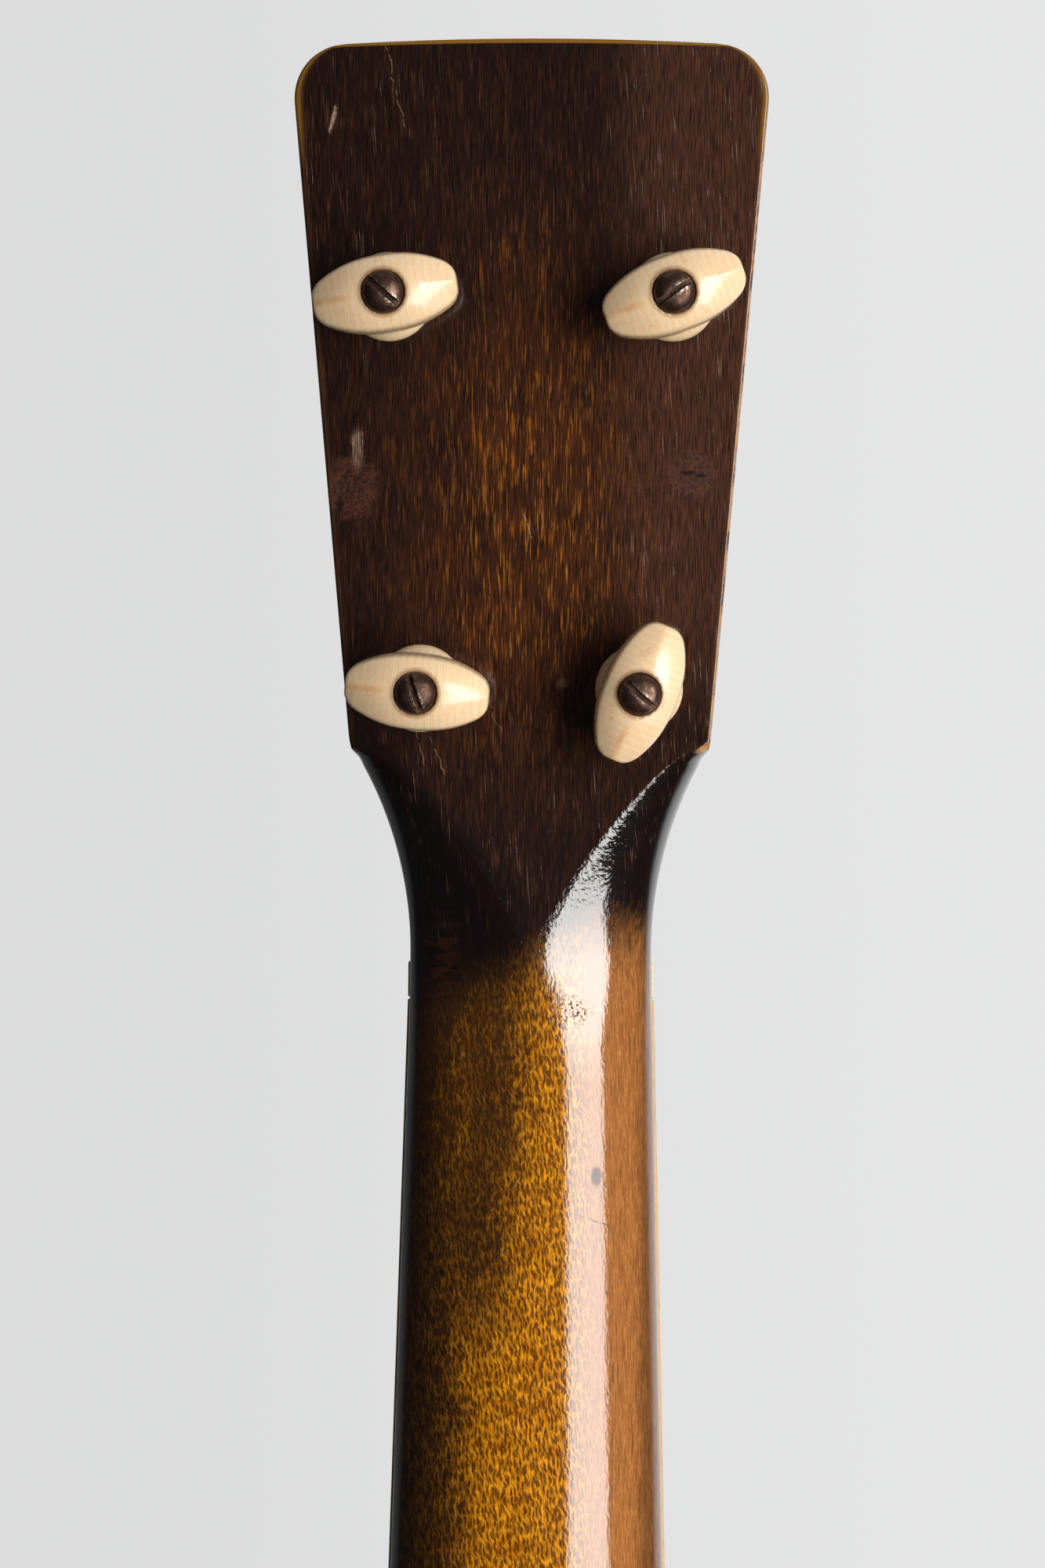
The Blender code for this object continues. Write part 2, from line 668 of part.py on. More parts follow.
def bore_head(neck, number, frame):
    """The stepped hole through the head: wide in front for the bushing."""
    profile = [
        (0.0, -3.0 * MM),
        (BUSHING_SEAT_RADIUS, -3.0 * MM),
        (BUSHING_SEAT_RADIUS, BUSHING_SEAT_DEPTH),
        (PEG_BORE, BUSHING_SEAT_DEPTH),
        (PEG_BORE, NECK_WALL + 3.0 * MM),
        (0.0, NECK_WALL + 3.0 * MM),
    ]
    combine(neck, add_cutter(f"peg_hole_{number}", turned(profile), frame))


def make_pegs(neck, head_frame, finishes):
    """Four pegs, each on an empty that stands on its axis."""
    button_base = NECK_WALL + CLEARANCE
    for number, (x, s, turn) in enumerate(PEGS, start=1):
        hole = add_empty(f"peg_axis_{number}", (x, s - HEAD_START, 0.0), parent=head_frame)
        peg = add_empty(f"peg_turn_{number}", (0.0, 0.0, button_base), (0.0, 0.0, turn), hole)
        bore_head(neck, number, hole)
        make_bushing(number, hole, finishes["nickel"])
        make_post(number, peg, finishes["nickel"])
        make_button(number, peg, finishes["ivoroid"])
        screw = add_empty(f"screw_axis_{number}", (0.0, 0.0, 0.0), (0.0, 0.0, -turn), peg)
        make_screw(number, screw, finishes["dark steel"])


# Body


def spline(points, steps):
    """A smooth curve through the points (Catmull-Rom)."""
    ends = [points[0] * 2.0 - points[1], *points, points[-1] * 2.0 - points[-2]]
    curve = []
    for a, b, c, d in zip(ends, ends[1:], ends[2:], ends[3:]):
        square = 2.0 * a - 5.0 * b + 4.0 * c - d
        cube = 3.0 * b - a - 3.0 * c + d
        for i in range(steps):
            t = i / steps
            curve.append(0.5 * (2.0 * b + (c - a) * t + square * t**2 + cube * t**3))
    curve.append(points[-1])
    return curve


def half_outline(inset):
    """(x, z) points of the body's right side, from the neck joint to the tail, moved inwards by inset."""
    named = [Vector((x, -q)) * MM for x, q in BODY_OUTLINE]
    curve = [Vector((0.0, 0.0)), *spline(named, OUTLINE_STEPS)]
    moved = []
    for i, point in enumerate(curve):
        before = curve[i - 1] if i else Vector((-point.x - 1.0 * MM, point.y))
        after = curve[i + 1] if i + 1 < len(curve) else Vector((-curve[i - 1].x, curve[i - 1].y))
        along = (after - before).normalized()
        inward = Vector((along.y, -along.x))
        step = inward * inset
        moved.append(Vector((max(0.0, point.x + step.x), BODY_TOP_Z + point.y + step.y)))
    moved[0].x = 0.0
    moved[-1].x = 0.0
    return moved


def full_outline(inset, y):
    """The closed outline of the body at y."""
    right = half_outline(inset)
    left = [Vector((-p.x, p.y)) for p in reversed(right[1:-1])]
    return [Vector((p.x, y, p.y)) for p in right + left]


def body_strip(inset, width, y_low, y_high, side, first=0, last=None):
    """A strip that follows one side of the body: a rib or a lining."""
    outer = half_outline(inset)[first:last]
    inner = half_outline(inset + width)[first:last]
    outline = outer + inner[::-1]
    gap = 0.2 * MM
    points = [Vector((side * max(gap, p.x), y_low, p.y)) for p in outline]
    return prism(points, Vector((0.0, y_high - y_low, 0.0)))


def sound_hole_z():
    return BODY_TOP_Z - SOUND_HOLE_Q


def make_top(spruce):
    inset = BINDING_WIDTH + FINE_CLEARANCE
    bm = prism(full_outline(inset, BODY_FRONT_Y - PLATE_THICKNESS), Vector((0.0, PLATE_THICKNESS, 0.0)))
    top = add_solid("top", bm, spruce, smooth=False)
    low = BODY_FRONT_Y - PLATE_THICKNESS - CUTTER_REACH
    hole = turned_along_y(SOUND_HOLE_RADIUS, low, BODY_FRONT_Y + CUTTER_REACH, sound_hole_z(), ROUND_STEPS)
    combine(top, add_cutter("sound_hole_shape", hole))
    groove = band(
        circle_xz(ROSETTE_OUTER + FINE_CLEARANCE, BODY_FRONT_Y - ROSETTE_DEPTH, sound_hole_z(), ROUND_STEPS),
        circle_xz(ROSETTE_INNER - FINE_CLEARANCE, BODY_FRONT_Y - ROSETTE_DEPTH, sound_hole_z(), ROUND_STEPS),
        Vector((0.0, ROSETTE_DEPTH + CUTTER_REACH, 0.0)),
    )
    combine(top, add_cutter("rosette_groove", groove))


def make_rosette(inlay):
    thickness = ROSETTE_DEPTH - FINE_CLEARANCE
    outer = circle_xz(ROSETTE_OUTER, BODY_FRONT_Y - thickness, sound_hole_z(), ROUND_STEPS)
    inner = circle_xz(ROSETTE_INNER, BODY_FRONT_Y - thickness, sound_hole_z(), ROUND_STEPS)
    add_solid("rosette", band(outer, inner, Vector((0.0, thickness, 0.0))), inlay, smooth=False)


def make_back(maple):
    inset = BINDING_WIDTH + FINE_CLEARANCE
    bm = prism(full_outline(inset, BODY_BACK_Y), Vector((0.0, PLATE_THICKNESS, 0.0)))
    add_solid("back", bm, maple, smooth=False)


def make_bindings(celluloid):
    for name, low in (("front_binding", BODY_FRONT_Y - BINDING_HEIGHT), ("back_binding", BODY_BACK_Y)):
        outer = full_outline(0.0, low)
        inner = full_outline(BINDING_WIDTH, low)
        add_solid(name, band(outer, inner, Vector((0.0, BINDING_HEIGHT, 0.0))), celluloid)


def make_ribs(maple, dowel_cutter):
    low = BODY_BACK_Y + BINDING_HEIGHT + FINE_CLEARANCE
    high = BODY_FRONT_Y - BINDING_HEIGHT - FINE_CLEARANCE
    for name, side in (("left_rib", -1.0), ("right_rib", 1.0)):
        rib = add_solid(name, body_strip(0.0, RIB_THICKNESS, low, high, side), maple)
        combine(rib, dowel_cutter)


def lining_range():
    """Indices of the outline's points between the neck block and the tail block."""
    inner = half_outline(RIB_THICKNESS + LINING_WIDTH)
    first = next(i for i, p in enumerate(inner) if p.x > NECK_BLOCK_HALF + 1.5 * MM)
    last = next(i for i, p in enumerate(inner) if i > first and p.x < TAIL_BLOCK_HALF + 1.5 * MM)
    return first, last


def make_linings(spruce):
    first, last = lining_range()
    front_high = BODY_FRONT_Y - PLATE_THICKNESS - CLEARANCE
    back_low = BODY_BACK_Y + PLATE_THICKNESS + CLEARANCE
    levels = (("front", front_high - LINING_HEIGHT, front_high), ("back", back_low, back_low + LINING_HEIGHT))
    for level, low, high in levels:
        for name, side in (("left", -1.0), ("right", 1.0)):
            bm = body_strip(RIB_THICKNESS + CLEARANCE, LINING_WIDTH, low, high, side, first, last)
            add_solid(f"{name}_{level}_lining", bm, spruce)


def make_blocks(spruce, dowel_cutter):
    low = BODY_BACK_Y + PLATE_THICKNESS + CLEARANCE
    high = BODY_FRONT_Y - PLATE_THICKNESS - CLEARANCE
    front = BODY_TOP_Z - RIB_THICKNESS - CLEARANCE
    block = box((-NECK_BLOCK_HALF, low, front - NECK_BLOCK_LENGTH), (NECK_BLOCK_HALF, high, front))
    combine(add_solid("neck_block", block, spruce, smooth=False), dowel_cutter)
    curve = [p for p in half_outline(RIB_THICKNESS + CLEARANCE) if p.x < TAIL_BLOCK_HALF and p.y < SADDLE_Z]
    inner_z = max(p.y for p in curve) + TAIL_BLOCK_LENGTH
    right = [Vector((curve[0].x, low, inner_z)), *[Vector((p.x, low, p.y)) for p in curve]]
    left = [Vector((-p.x, p.y, p.z)) for p in reversed(right[:-1])]
    add_solid("tail_block", prism(right + left, Vector((0.0, high - low, 0.0))), spruce, smooth=False)


def width_at(q, inset):
    """Half width inside the body at q."""
    z = BODY_TOP_Z - q
    points = half_outline(inset)
    return next(
        a.x + (b.x - a.x) * (a.y - z) / (a.y - b.y) for a, b in zip(points[1:], points[2:]) if a.y >= z > b.y
    )


def make_braces(spruce):
    """Bars across the plates, with ends cut away towards the linings."""
    inset = RIB_THICKNESS + LINING_WIDTH + 1.5 * MM
    levels = (
        ("top", TOP_BRACE_QS, BODY_FRONT_Y - PLATE_THICKNESS - CLEARANCE, -1.0),
        ("back", BACK_BRACE_QS, BODY_BACK_Y + PLATE_THICKNESS + CLEARANCE, 1.0),
    )
    for level, places, y, inward in levels:
        for number, q in enumerate(places, start=1):
            half = min(width_at(q - BRACE_WIDTH, inset), width_at(q + BRACE_WIDTH, inset))
            z = BODY_TOP_Z - q - BRACE_WIDTH / 2.0
            profile = [(-half, 0.0), (-half, BRACE_TIP_HEIGHT), (-half + BRACE_TAPER, BRACE_HEIGHT)]
            profile += [(-x, height) for x, height in reversed(profile)]
            points = [Vector((x, y + inward * height, z)) for x, height in profile]
            bar = prism(points, Vector((0.0, 0.0, BRACE_WIDTH)))
            add_solid(f"{level}_brace_{number}", bar, spruce, smooth=False)


def make_bridge_plate(spruce):
    y = BODY_FRONT_Y - PLATE_THICKNESS - CLEARANCE
    low = (-BRIDGE_PLATE_HALF, y - BRIDGE_PLATE_THICKNESS, SADDLE_Z - BRIDGE_PLATE_BACK)
    high = (BRIDGE_PLATE_HALF, y, SADDLE_Z + BRIDGE_PLATE_FRONT)
    add_solid("bridge_plate", box(low, high), spruce, smooth=False)


def dowel_solid(radius, extra):
    """The dowel that ties the heel to the neck block."""
    low = BODY_TOP_Z - DOWEL_IN_BLOCK - extra
    length = DOWEL_IN_HEEL + DOWEL_IN_BLOCK + 2.0 * extra
    points = [Vector((p.x, DOWEL_Y + p.z, low)) for p in circle_xz(radius, 0.0, 0.0, 16)]
    return prism(points, Vector((0.0, 0.0, length)))


# Bridge, saddle and strings


def make_bridge(ebony):
    """A slab with thin wings, a slot for the saddle, and open slots behind it for the strings."""
    low = BODY_FRONT_Y + CLEARANCE
    high = low + BRIDGE_HEIGHT
    wing = low + BRIDGE_WING_HEIGHT
    outline = [
        (-BRIDGE_HALF, low),
        (-BRIDGE_HALF, wing),
        (-BRIDGE_CENTRE_HALF - BRIDGE_SLOPE, wing),
        (-BRIDGE_CENTRE_HALF, high),
    ]
    outline += [(-x, y) for x, y in reversed(outline)]
    z_low = SADDLE_Z - BRIDGE_BACK
    points = [Vector((x, y, z_low)) for x, y in outline]
    slab = prism(points, Vector((0.0, 0.0, BRIDGE_BACK + BRIDGE_FRONT)))
    bridge = add_solid("bridge", slab, ebony, smooth=False)
    half = SADDLE_WIDTH / 2.0 + FINE_CLEARANCE
    seat = box(
        (-SADDLE_HALF - FINE_CLEARANCE, high - SADDLE_SEAT, SADDLE_Z - half),
        (SADDLE_HALF + FINE_CLEARANCE, high + CUTTER_REACH, SADDLE_Z + half),
    )
    combine(bridge, add_cutter("saddle_seat", seat))
    for number, x in enumerate(BRIDGE_STRINGS, start=1):
        width = STRING_SLOT_WIDTH / 2.0
        slot = box(
            (x - width, high - STRING_SLOT_DEPTH, z_low - CUTTER_REACH),
            (x + width, high + CUTTER_REACH, z_low + STRING_SLOT_LENGTH),
        )
        combine(bridge, add_cutter(f"string_slot_{number}", slot))
    return high


def make_saddle(bone, bridge_top):
    z = SADDLE_Z - SADDLE_WIDTH / 2.0
    points = [
        Vector((-SADDLE_HALF, bridge_top - SADDLE_SEAT + FINE_CLEARANCE, z)),
        Vector((-SADDLE_HALF, STRING_Y_AT_SADDLE - SADDLE_END_DROP, z)),
        Vector((-SADDLE_HALF + SADDLE_END_SLOPE, STRING_Y_AT_SADDLE - SADDLE_TOP_DROP, z)),
    ]
    points += [Vector((-p.x, p.y, z)) for p in reversed(points)]
    add_solid("saddle", prism(points, Vector((0.0, 0.0, SADDLE_WIDTH))), bone, smooth=False)


def string_route(index, bridge_top):
    """Points of one string: bridge slot, over the saddle and the nut, to the side of its post."""
    radius = STRING_RADII[index]
    peg_x, peg_s, _ = PEGS[STRING_PEGS[index]]
    side = math.copysign(1.0, peg_x)
    clear = POST_RADIUS + radius + STRING_GAP_AT_POST
    out = Vector((math.cos(HEAD_PITCH), math.sin(HEAD_PITCH)))
    post = front_point(peg_s) + out * STRING_HEIGHT_AT_POST
    x = BRIDGE_STRINGS[index]
    slot_start = SADDLE_Z - BRIDGE_BACK
    return [
        Vector((x, bridge_top - STRING_DEPTH_IN_SLOT, slot_start + 0.6 * MM)),
        Vector((x, bridge_top + 0.7 * MM, slot_start + STRING_SLOT_LENGTH - 0.4 * MM)),
        Vector((x, STRING_Y_AT_SADDLE - 0.15 * MM, SADDLE_Z - 2.0 * MM)),
        Vector((x, STRING_Y_AT_SADDLE, SADDLE_Z)),
        Vector((NUT_STRINGS[index], STRING_Y_AT_NUT, 0.0)),
        Vector((NUT_STRINGS[index], STRING_Y_AT_NUT, NUT_THICKNESS)),
        Vector((peg_x - side * clear, post.x, post.y)),
    ]


def make_strings(gut, bridge_top):
    for index, radius in enumerate(STRING_RADII):
        route = string_route(index, bridge_top)
        curve = bpy.data.curves.new(f"string_{index + 1}", "CURVE")
        curve.dimensions = "3D"
        curve.bevel_depth = radius
        curve.bevel_resolution = 2
        curve.use_fill_caps = True
        line = curve.splines.new("POLY")
        line.points.add(len(route) - 1)
        for point, place in zip(line.points, route):
            point.co = (*place, 1.0)
        curve.materials.append(gut)
        bpy.context.scene.collection.objects.link(bpy.data.objects.new(f"string_{index + 1}", curve))


def main():
    clear_scene()
    maple = paint("Shaded maple", (0.19, 0.075, 0.02), 0.3)
    spruce = paint("Spruce", (0.62, 0.42, 0.2), 0.5)
    ebony = paint("Dyed pearwood", (0.02, 0.016, 0.014), 0.35)
    bone = paint("Bone", (0.8, 0.74, 0.6), 0.4)
    pearl = paint("Pearl", (0.8, 0.8, 0.78), 0.25)
    wire = paint("Fret wire", (0.62, 0.6, 0.52), 0.3, 1.0)
    celluloid = paint("Cream celluloid", (0.82, 0.72, 0.5), 0.35)
    gut = paint("Gut", (0.75, 0.68, 0.52), 0.4)
    finishes = {
        "nickel": paint("Nickel plate", (0.6, 0.58, 0.54), 0.3, 1.0),
        "ivoroid": paint("Ivoroid", (0.83, 0.68, 0.46), 0.3),
        "dark steel": paint("Browned steel", (0.09, 0.06, 0.05), 0.35, 1.0),
    }
    neck = make_neck(maple)
    make_pegs(neck, make_head_frame(), finishes)
    make_fingerboard(ebony)
    make_dots(pearl)
    make_frets(wire)
    make_nut(bone)
    dowel_cutter = add_cutter("dowel_hole", dowel_solid(DOWEL_RADIUS + CLEARANCE, CLEARANCE))
    combine(neck, dowel_cutter)
    add_solid("heel_dowel", dowel_solid(DOWEL_RADIUS, 0.0), spruce)
    make_top(spruce)
    make_rosette(celluloid)
    make_back(maple)
    make_bindings(celluloid)
    make_ribs(maple, dowel_cutter)
    make_linings(spruce)
    make_blocks(spruce, dowel_cutter)
    make_braces(spruce)
    make_bridge_plate(spruce)
    bridge_top = make_bridge(ebony)
    make_saddle(bone, bridge_top)
    make_strings(gut, bridge_top)


main()
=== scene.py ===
# %% [markdown]
# # A small ukulele, seen from behind
#
# The instrument stands upright with its back towards us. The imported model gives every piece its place, and this
# lesson dresses it: the pieces that we look at closely are made again with finer shapes, and every surface gets
# a finish built from nodes. We work in metres. +Z runs up to the head and -Y points out of the back.

# %% Load the frame
import math

import bmesh
import bpy
from mathutils import Matrix, Vector


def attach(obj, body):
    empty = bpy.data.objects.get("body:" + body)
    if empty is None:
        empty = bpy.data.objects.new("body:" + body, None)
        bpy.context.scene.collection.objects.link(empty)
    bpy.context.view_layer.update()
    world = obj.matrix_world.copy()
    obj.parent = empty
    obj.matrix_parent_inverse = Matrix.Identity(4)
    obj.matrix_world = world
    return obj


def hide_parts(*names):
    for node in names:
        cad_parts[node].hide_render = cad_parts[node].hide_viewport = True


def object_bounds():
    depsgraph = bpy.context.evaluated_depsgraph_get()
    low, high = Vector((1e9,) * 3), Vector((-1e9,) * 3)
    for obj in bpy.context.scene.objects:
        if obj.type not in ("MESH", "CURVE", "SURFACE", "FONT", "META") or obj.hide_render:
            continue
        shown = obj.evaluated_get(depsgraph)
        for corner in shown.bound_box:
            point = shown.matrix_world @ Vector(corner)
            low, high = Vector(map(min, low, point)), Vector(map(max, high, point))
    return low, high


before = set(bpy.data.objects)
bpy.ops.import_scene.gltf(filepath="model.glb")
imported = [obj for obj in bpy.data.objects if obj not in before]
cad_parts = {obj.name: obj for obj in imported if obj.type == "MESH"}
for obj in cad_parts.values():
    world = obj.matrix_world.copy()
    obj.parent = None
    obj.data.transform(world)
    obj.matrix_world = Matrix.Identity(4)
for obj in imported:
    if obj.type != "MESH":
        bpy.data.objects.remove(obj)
cad_low, cad_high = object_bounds()
MM = 0.001
print("The model's box runs from", [round(v, 3) for v in cad_low], "to", [round(v, 3) for v in cad_high])

# %% [markdown]
# ## The camera
#
# We look at the head and the upper neck from close by, a little from the right and from below, as someone does
# who hangs the instrument on a wall to examine it. The head leans towards us, so the camera ends up nearly
# square to it. A long lens keeps the sides nearly parallel. The camera is turned by less than half a degree.

# %% Camera
NECK_BACK_AT_NUT = Vector((0.0, -15.5 * MM, 0.0))
VIEW_DISTANCE = 0.45
VIEW_AZIMUTH = math.radians(1.5)
VIEW_ELEVATION = math.radians(-6.8)
VIEW_ROLL = math.radians(0.45)
NUT_IN_FRAME = (0.88 * MM, -29.23 * MM)  # where the nut sits right of and above the frame's centre

back_of_view = Vector(
    (
        math.sin(VIEW_AZIMUTH) * math.cos(VIEW_ELEVATION),
        -math.cos(VIEW_AZIMUTH) * math.cos(VIEW_ELEVATION),
        math.sin(VIEW_ELEVATION),
    )
)
turned_view = back_of_view.to_track_quat("Z", "Y").to_matrix() @ Matrix.Rotation(VIEW_ROLL, 3, "Z")
view_right, view_up = turned_view.col[0], turned_view.col[1]
camera = bpy.data.objects.new("camera", bpy.data.cameras.new("camera"))
bpy.context.scene.collection.objects.link(camera)
bpy.context.scene.camera = camera
camera.data.sensor_width = 36.0
camera.data.lens = 73.7
eye = NECK_BACK_AT_NUT + back_of_view * VIEW_DISTANCE - view_right * NUT_IN_FRAME[0] - view_up * NUT_IN_FRAME[1]
camera.matrix_world = Matrix.Translation(eye) @ turned_view.to_4x4()
camera.data.clip_start = 0.01
print("The camera stands at", [round(v, 3) for v in eye])

# %% [markdown]
# ## Light and room
#
# One tall softbox on the right makes the long clean streak in the varnish, so its edges matter more than its
# strength. The room is dim behind us, which leaves the dark wood dark, and pale behind the instrument and above,
# which lights its front and puts a thin pale line on its outer edges. A round pale floor lies under the body. It
# comes last, with two weaker lamps: one over the floor, and one for the instrument's front.

# %% Softbox
scene = bpy.context.scene
scene.view_settings.view_transform = "Standard"

SOFTBOX_AZIMUTH = math.radians(39.0)
SOFTBOX_DISTANCE = 0.56
SOFTBOX_WIDTH = 0.295
SOFTBOX_HEIGHT = 0.60
SOFTBOX_CENTRE_Z = -0.095
SOFTBOX_SPREAD = math.radians(150.0)
SOFTBOX_WATTS = 3.45

towards_softbox = Vector((math.sin(SOFTBOX_AZIMUTH), -math.cos(SOFTBOX_AZIMUTH), 0.0))
softbox = bpy.data.objects.new("softbox", bpy.data.lights.new("softbox", "AREA"))
scene.collection.objects.link(softbox)
softbox.data.shape = "RECTANGLE"
softbox.data.size = SOFTBOX_WIDTH
softbox.data.size_y = SOFTBOX_HEIGHT
softbox.data.energy = SOFTBOX_WATTS
softbox.data.spread = SOFTBOX_SPREAD
softbox.data.color = (1.0, 0.985, 0.96)
softbox.location = NECK_BACK_AT_NUT + towards_softbox * SOFTBOX_DISTANCE + Vector((0.0, 0.0, SOFTBOX_CENTRE_Z))
softbox.rotation_mode = "QUATERNION"
softbox.rotation_quaternion = towards_softbox.to_track_quat("Z", "Y")
softbox.visible_camera = False
print("The softbox is", SOFTBOX_WIDTH, "by", SOFTBOX_HEIGHT, "m at", SOFTBOX_DISTANCE, "m")


# %% [markdown]
# Node trees are long to write, so a few short helpers build them. `add` makes a node, and each of its inputs is
# either a plain value or the output of another node. The others wrap the nodes that we need most, and each adds
# its node to the tree that its inputs come from. A mask is an output that is 1 where something lies and 0 elsewhere.

# %% Node helpers
def add(tree, kind, inputs=None, **settings):
    """A node with its settings, whose inputs are values or other nodes' outputs."""
    node = tree.nodes.new(kind)
    for name, value in settings.items():
        setattr(node, name, value)
    for name, value in (inputs or {}).items():
        if isinstance(value, bpy.types.NodeSocket):
            tree.links.new(value, node.inputs[name])
        else:
            node.inputs[name].default_value = value
    return node


def tree_of(*values):
    """The node tree of the first output among the values, so that most helpers needn't be told it."""
    return next(value.id_data for value in values if isinstance(value, bpy.types.NodeSocket))


def calc(operation, a, b=0.0, clamp=False):
    """One step of arithmetic on outputs and numbers."""
    return add(tree_of(a, b), "ShaderNodeMath", {0: a, 1: b}, operation=operation, use_clamp=clamp).outputs[0]


def times(a, b, *others):
    """The product of outputs and numbers. `plus` and `most` work in the same way."""
    product = calc("MULTIPLY", a, b)
    return times(product, *others) if others else product


def plus(a, b, *others):
    """The sum of outputs and numbers."""
    total = calc("ADD", a, b)
    return plus(total, *others) if others else total


def minus(a, b):
    """The first less the second."""
    return calc("SUBTRACT", a, b)


def most(a, b, *others):
    """The largest of several masks."""
    larger = calc("MAXIMUM", a, b)
    return most(larger, *others) if others else larger


def vector_calc(operation, a, b=None):
    """Vector maths. The lengths and the dot products come out as plain numbers."""
    node = add(a.id_data, "ShaderNodeVectorMath", {0: a} if b is None else {0: a, 1: b}, operation=operation)
    return node.outputs["Value" if operation in ("LENGTH", "DOT_PRODUCT") else 0]


def span(value, low, high, start=0.0, end=1.0):
    """A soft step from start to end while value goes from low to high."""
    inputs = {"Value": value, "From Min": low, "From Max": high, "To Min": start, "To Max": end}
    return add(value.id_data, "ShaderNodeMapRange", inputs, interpolation_type="SMOOTHSTEP").outputs[0]


def blend(share, a, b):
    """Colour a where share is 0 and colour b where it is 1."""
    node = add(tree_of(share, a, b), "ShaderNodeMix", {0: share, 6: a, 7: b}, data_type="RGBA")
    return node.outputs[2]


def ramp(value, stops):
    """A colour ramp through (place, colour) stops."""
    node = add(value.id_data, "ShaderNodeValToRGB", {0: value})
    while len(node.color_ramp.elements) < len(stops):
        node.color_ramp.elements.new(0.5)
    for element, (place, colour) in zip(node.color_ramp.elements, stops):
        element.position = place
        element.color = (*colour, 1.0)
    return node.outputs[0]


def noise(vector, scale, detail=2.0, roughness=0.5, distortion=0.0):
    """Soft noise around 0.5, with scale features to a unit of the coordinates."""
    inputs = {
        "Vector": vector, "Scale": scale, "Detail": detail, "Roughness": roughness, "Distortion": distortion
    }
    return add(vector.id_data, "ShaderNodeTexNoise", inputs).outputs["Fac"]


def stretched(vector, scale, turn=(0.0, 0.0, 0.0)):
    """The coordinates scaled by a different amount along each axis, and then turned."""
    return add(
        vector.id_data, "ShaderNodeMapping", {"Vector": vector, "Rotation": turn, "Scale": scale}
    ).outputs[0]


def millimetres(tree):
    """The piece's own coordinates in millimetres."""
    return stretched(add(tree, "ShaderNodeTexCoord").outputs["Object"], (1000.0, 1000.0, 1000.0))


def noted(tree, name):
    """A note that the mesh keeps at each of its points."""
    return add(tree, "ShaderNodeAttribute", attribute_name=name).outputs["Fac"]


def bump(height, depth, over=None):
    """A normal from a height of 0 to 1, which stands for depth metres, on top of another bump if there is one."""
    node = add(height.id_data, "ShaderNodeBump", {"Height": height, "Strength": 1.0, "Distance": depth})
    if over:
        node.id_data.links.new(over, node.inputs["Normal"])
    return node.outputs[0]


def new_finish(name, **sockets):
    """A Principled material: its tree and shader, with the constant sockets set."""
    material = bpy.data.materials.new(name)
    material.use_nodes = True
    shader = material.node_tree.nodes["Principled BSDF"]
    for socket, value in sockets.items():
        shader.inputs[socket.replace("_", " ").title().replace("Ior", "IOR")].default_value = value
    return material, material.node_tree, shader


def wire(tree, shader, **sockets):
    """Joins outputs to the shader's sockets."""
    for socket, output in sockets.items():
        tree.links.new(output, shader.inputs[socket.replace("_", " ").title()])
print("The node helpers are ready")

# %% Room
room = bpy.data.worlds.new("studio")
scene.world = room
room.use_nodes = True
room_tree = room.node_tree
room_tree.nodes.clear()
direction = add(room_tree, "ShaderNodeTexCoord").outputs["Generated"]
towards = add(room_tree, "ShaderNodeSeparateXYZ", {0: direction})
backdrop = blend(span(towards.outputs[0], -0.22, 0.22), (0.712, 0.714, 0.718, 1.0), (0.800, 0.802, 0.807, 1.0))
behind_object = span(towards.outputs[1], 0.42, 0.70)
pale_side = blend(span(towards.outputs[0], -0.35, 0.15), (0.110, 0.110, 0.114, 1.0), (1.05, 1.05, 1.06, 1.0))
around = blend(behind_object, (0.028, 0.028, 0.029, 1.0), pale_side)
around = blend(span(towards.outputs[2], 0.70, 0.90), around, (0.60, 0.60, 0.61, 1.0))
seen = add(room_tree, "ShaderNodeBackground", {0: backdrop, 1: 1.0}).outputs[0]
lighting = add(room_tree, "ShaderNodeBackground", {0: around, 1: 1.0}).outputs[0]
camera_ray = add(room_tree, "ShaderNodeLightPath").outputs["Is Camera Ray"]
either = add(room_tree, "ShaderNodeMixShader", {0: camera_ray, 1: lighting, 2: seen}).outputs[0]
add(room_tree, "ShaderNodeOutputWorld", {0: either})
print("The room's world is ready")


# %% [markdown]
# ## Small tools for making pieces
#
# Each piece is a bmesh that becomes an object at the origin, with its place in its mesh. `settle` does that, lets
# it ride on a body of the model, and hides the plain pieces of the model that it stands for. Closed loops of points
# that are joined with bridge_loops make the carved shapes, and spin makes the turned ones.

# %% Making pieces
def settle(name, bm, finish, body, slot, *stands_for, sharp=35.0):
    """A piece from a bmesh, riding on a body."""
    bmesh.ops.recalc_face_normals(bm, faces=bm.faces)
    mesh = bpy.data.meshes.new(name)
    bm.to_mesh(mesh)
    bm.free()
    return settle_mesh(name, mesh, finish, body, slot, *stands_for, sharp=sharp)


def settle_mesh(name, mesh, finish, body, slot, *stands_for, sharp=35.0):
    """A piece from a finished mesh, riding on a body. Edges sharper than the angle stay sharp."""
    mesh.materials.clear()
    mesh.materials.append(finish)
    mesh.shade_smooth()
    mesh.set_sharp_from_angle(angle=math.radians(sharp))
    piece = bpy.data.objects.new(name, mesh)
    scene.collection.objects.link(piece)
    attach(piece, body)
    if stands_for:
        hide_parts(*stands_for)
    return piece


def add_loop(bm, points):
    """A closed loop of edges through the points."""
    verts = [bm.verts.new(point) for point in points]
    return [bm.edges.new((verts[i - 1], vert)) for i, vert in enumerate(verts)]


def lofted(sections):
    """A skin that joins each closed section to the next, with both ends filled."""
    bm = bmesh.new()
    loops = [add_loop(bm, points) for points in sections]
    for lower, upper in zip(loops, loops[1:]):
        bmesh.ops.bridge_loops(bm, edges=lower + upper)
    for end in (loops[0], loops[-1]):
        bmesh.ops.contextual_create(bm, geom=end)
    return bm


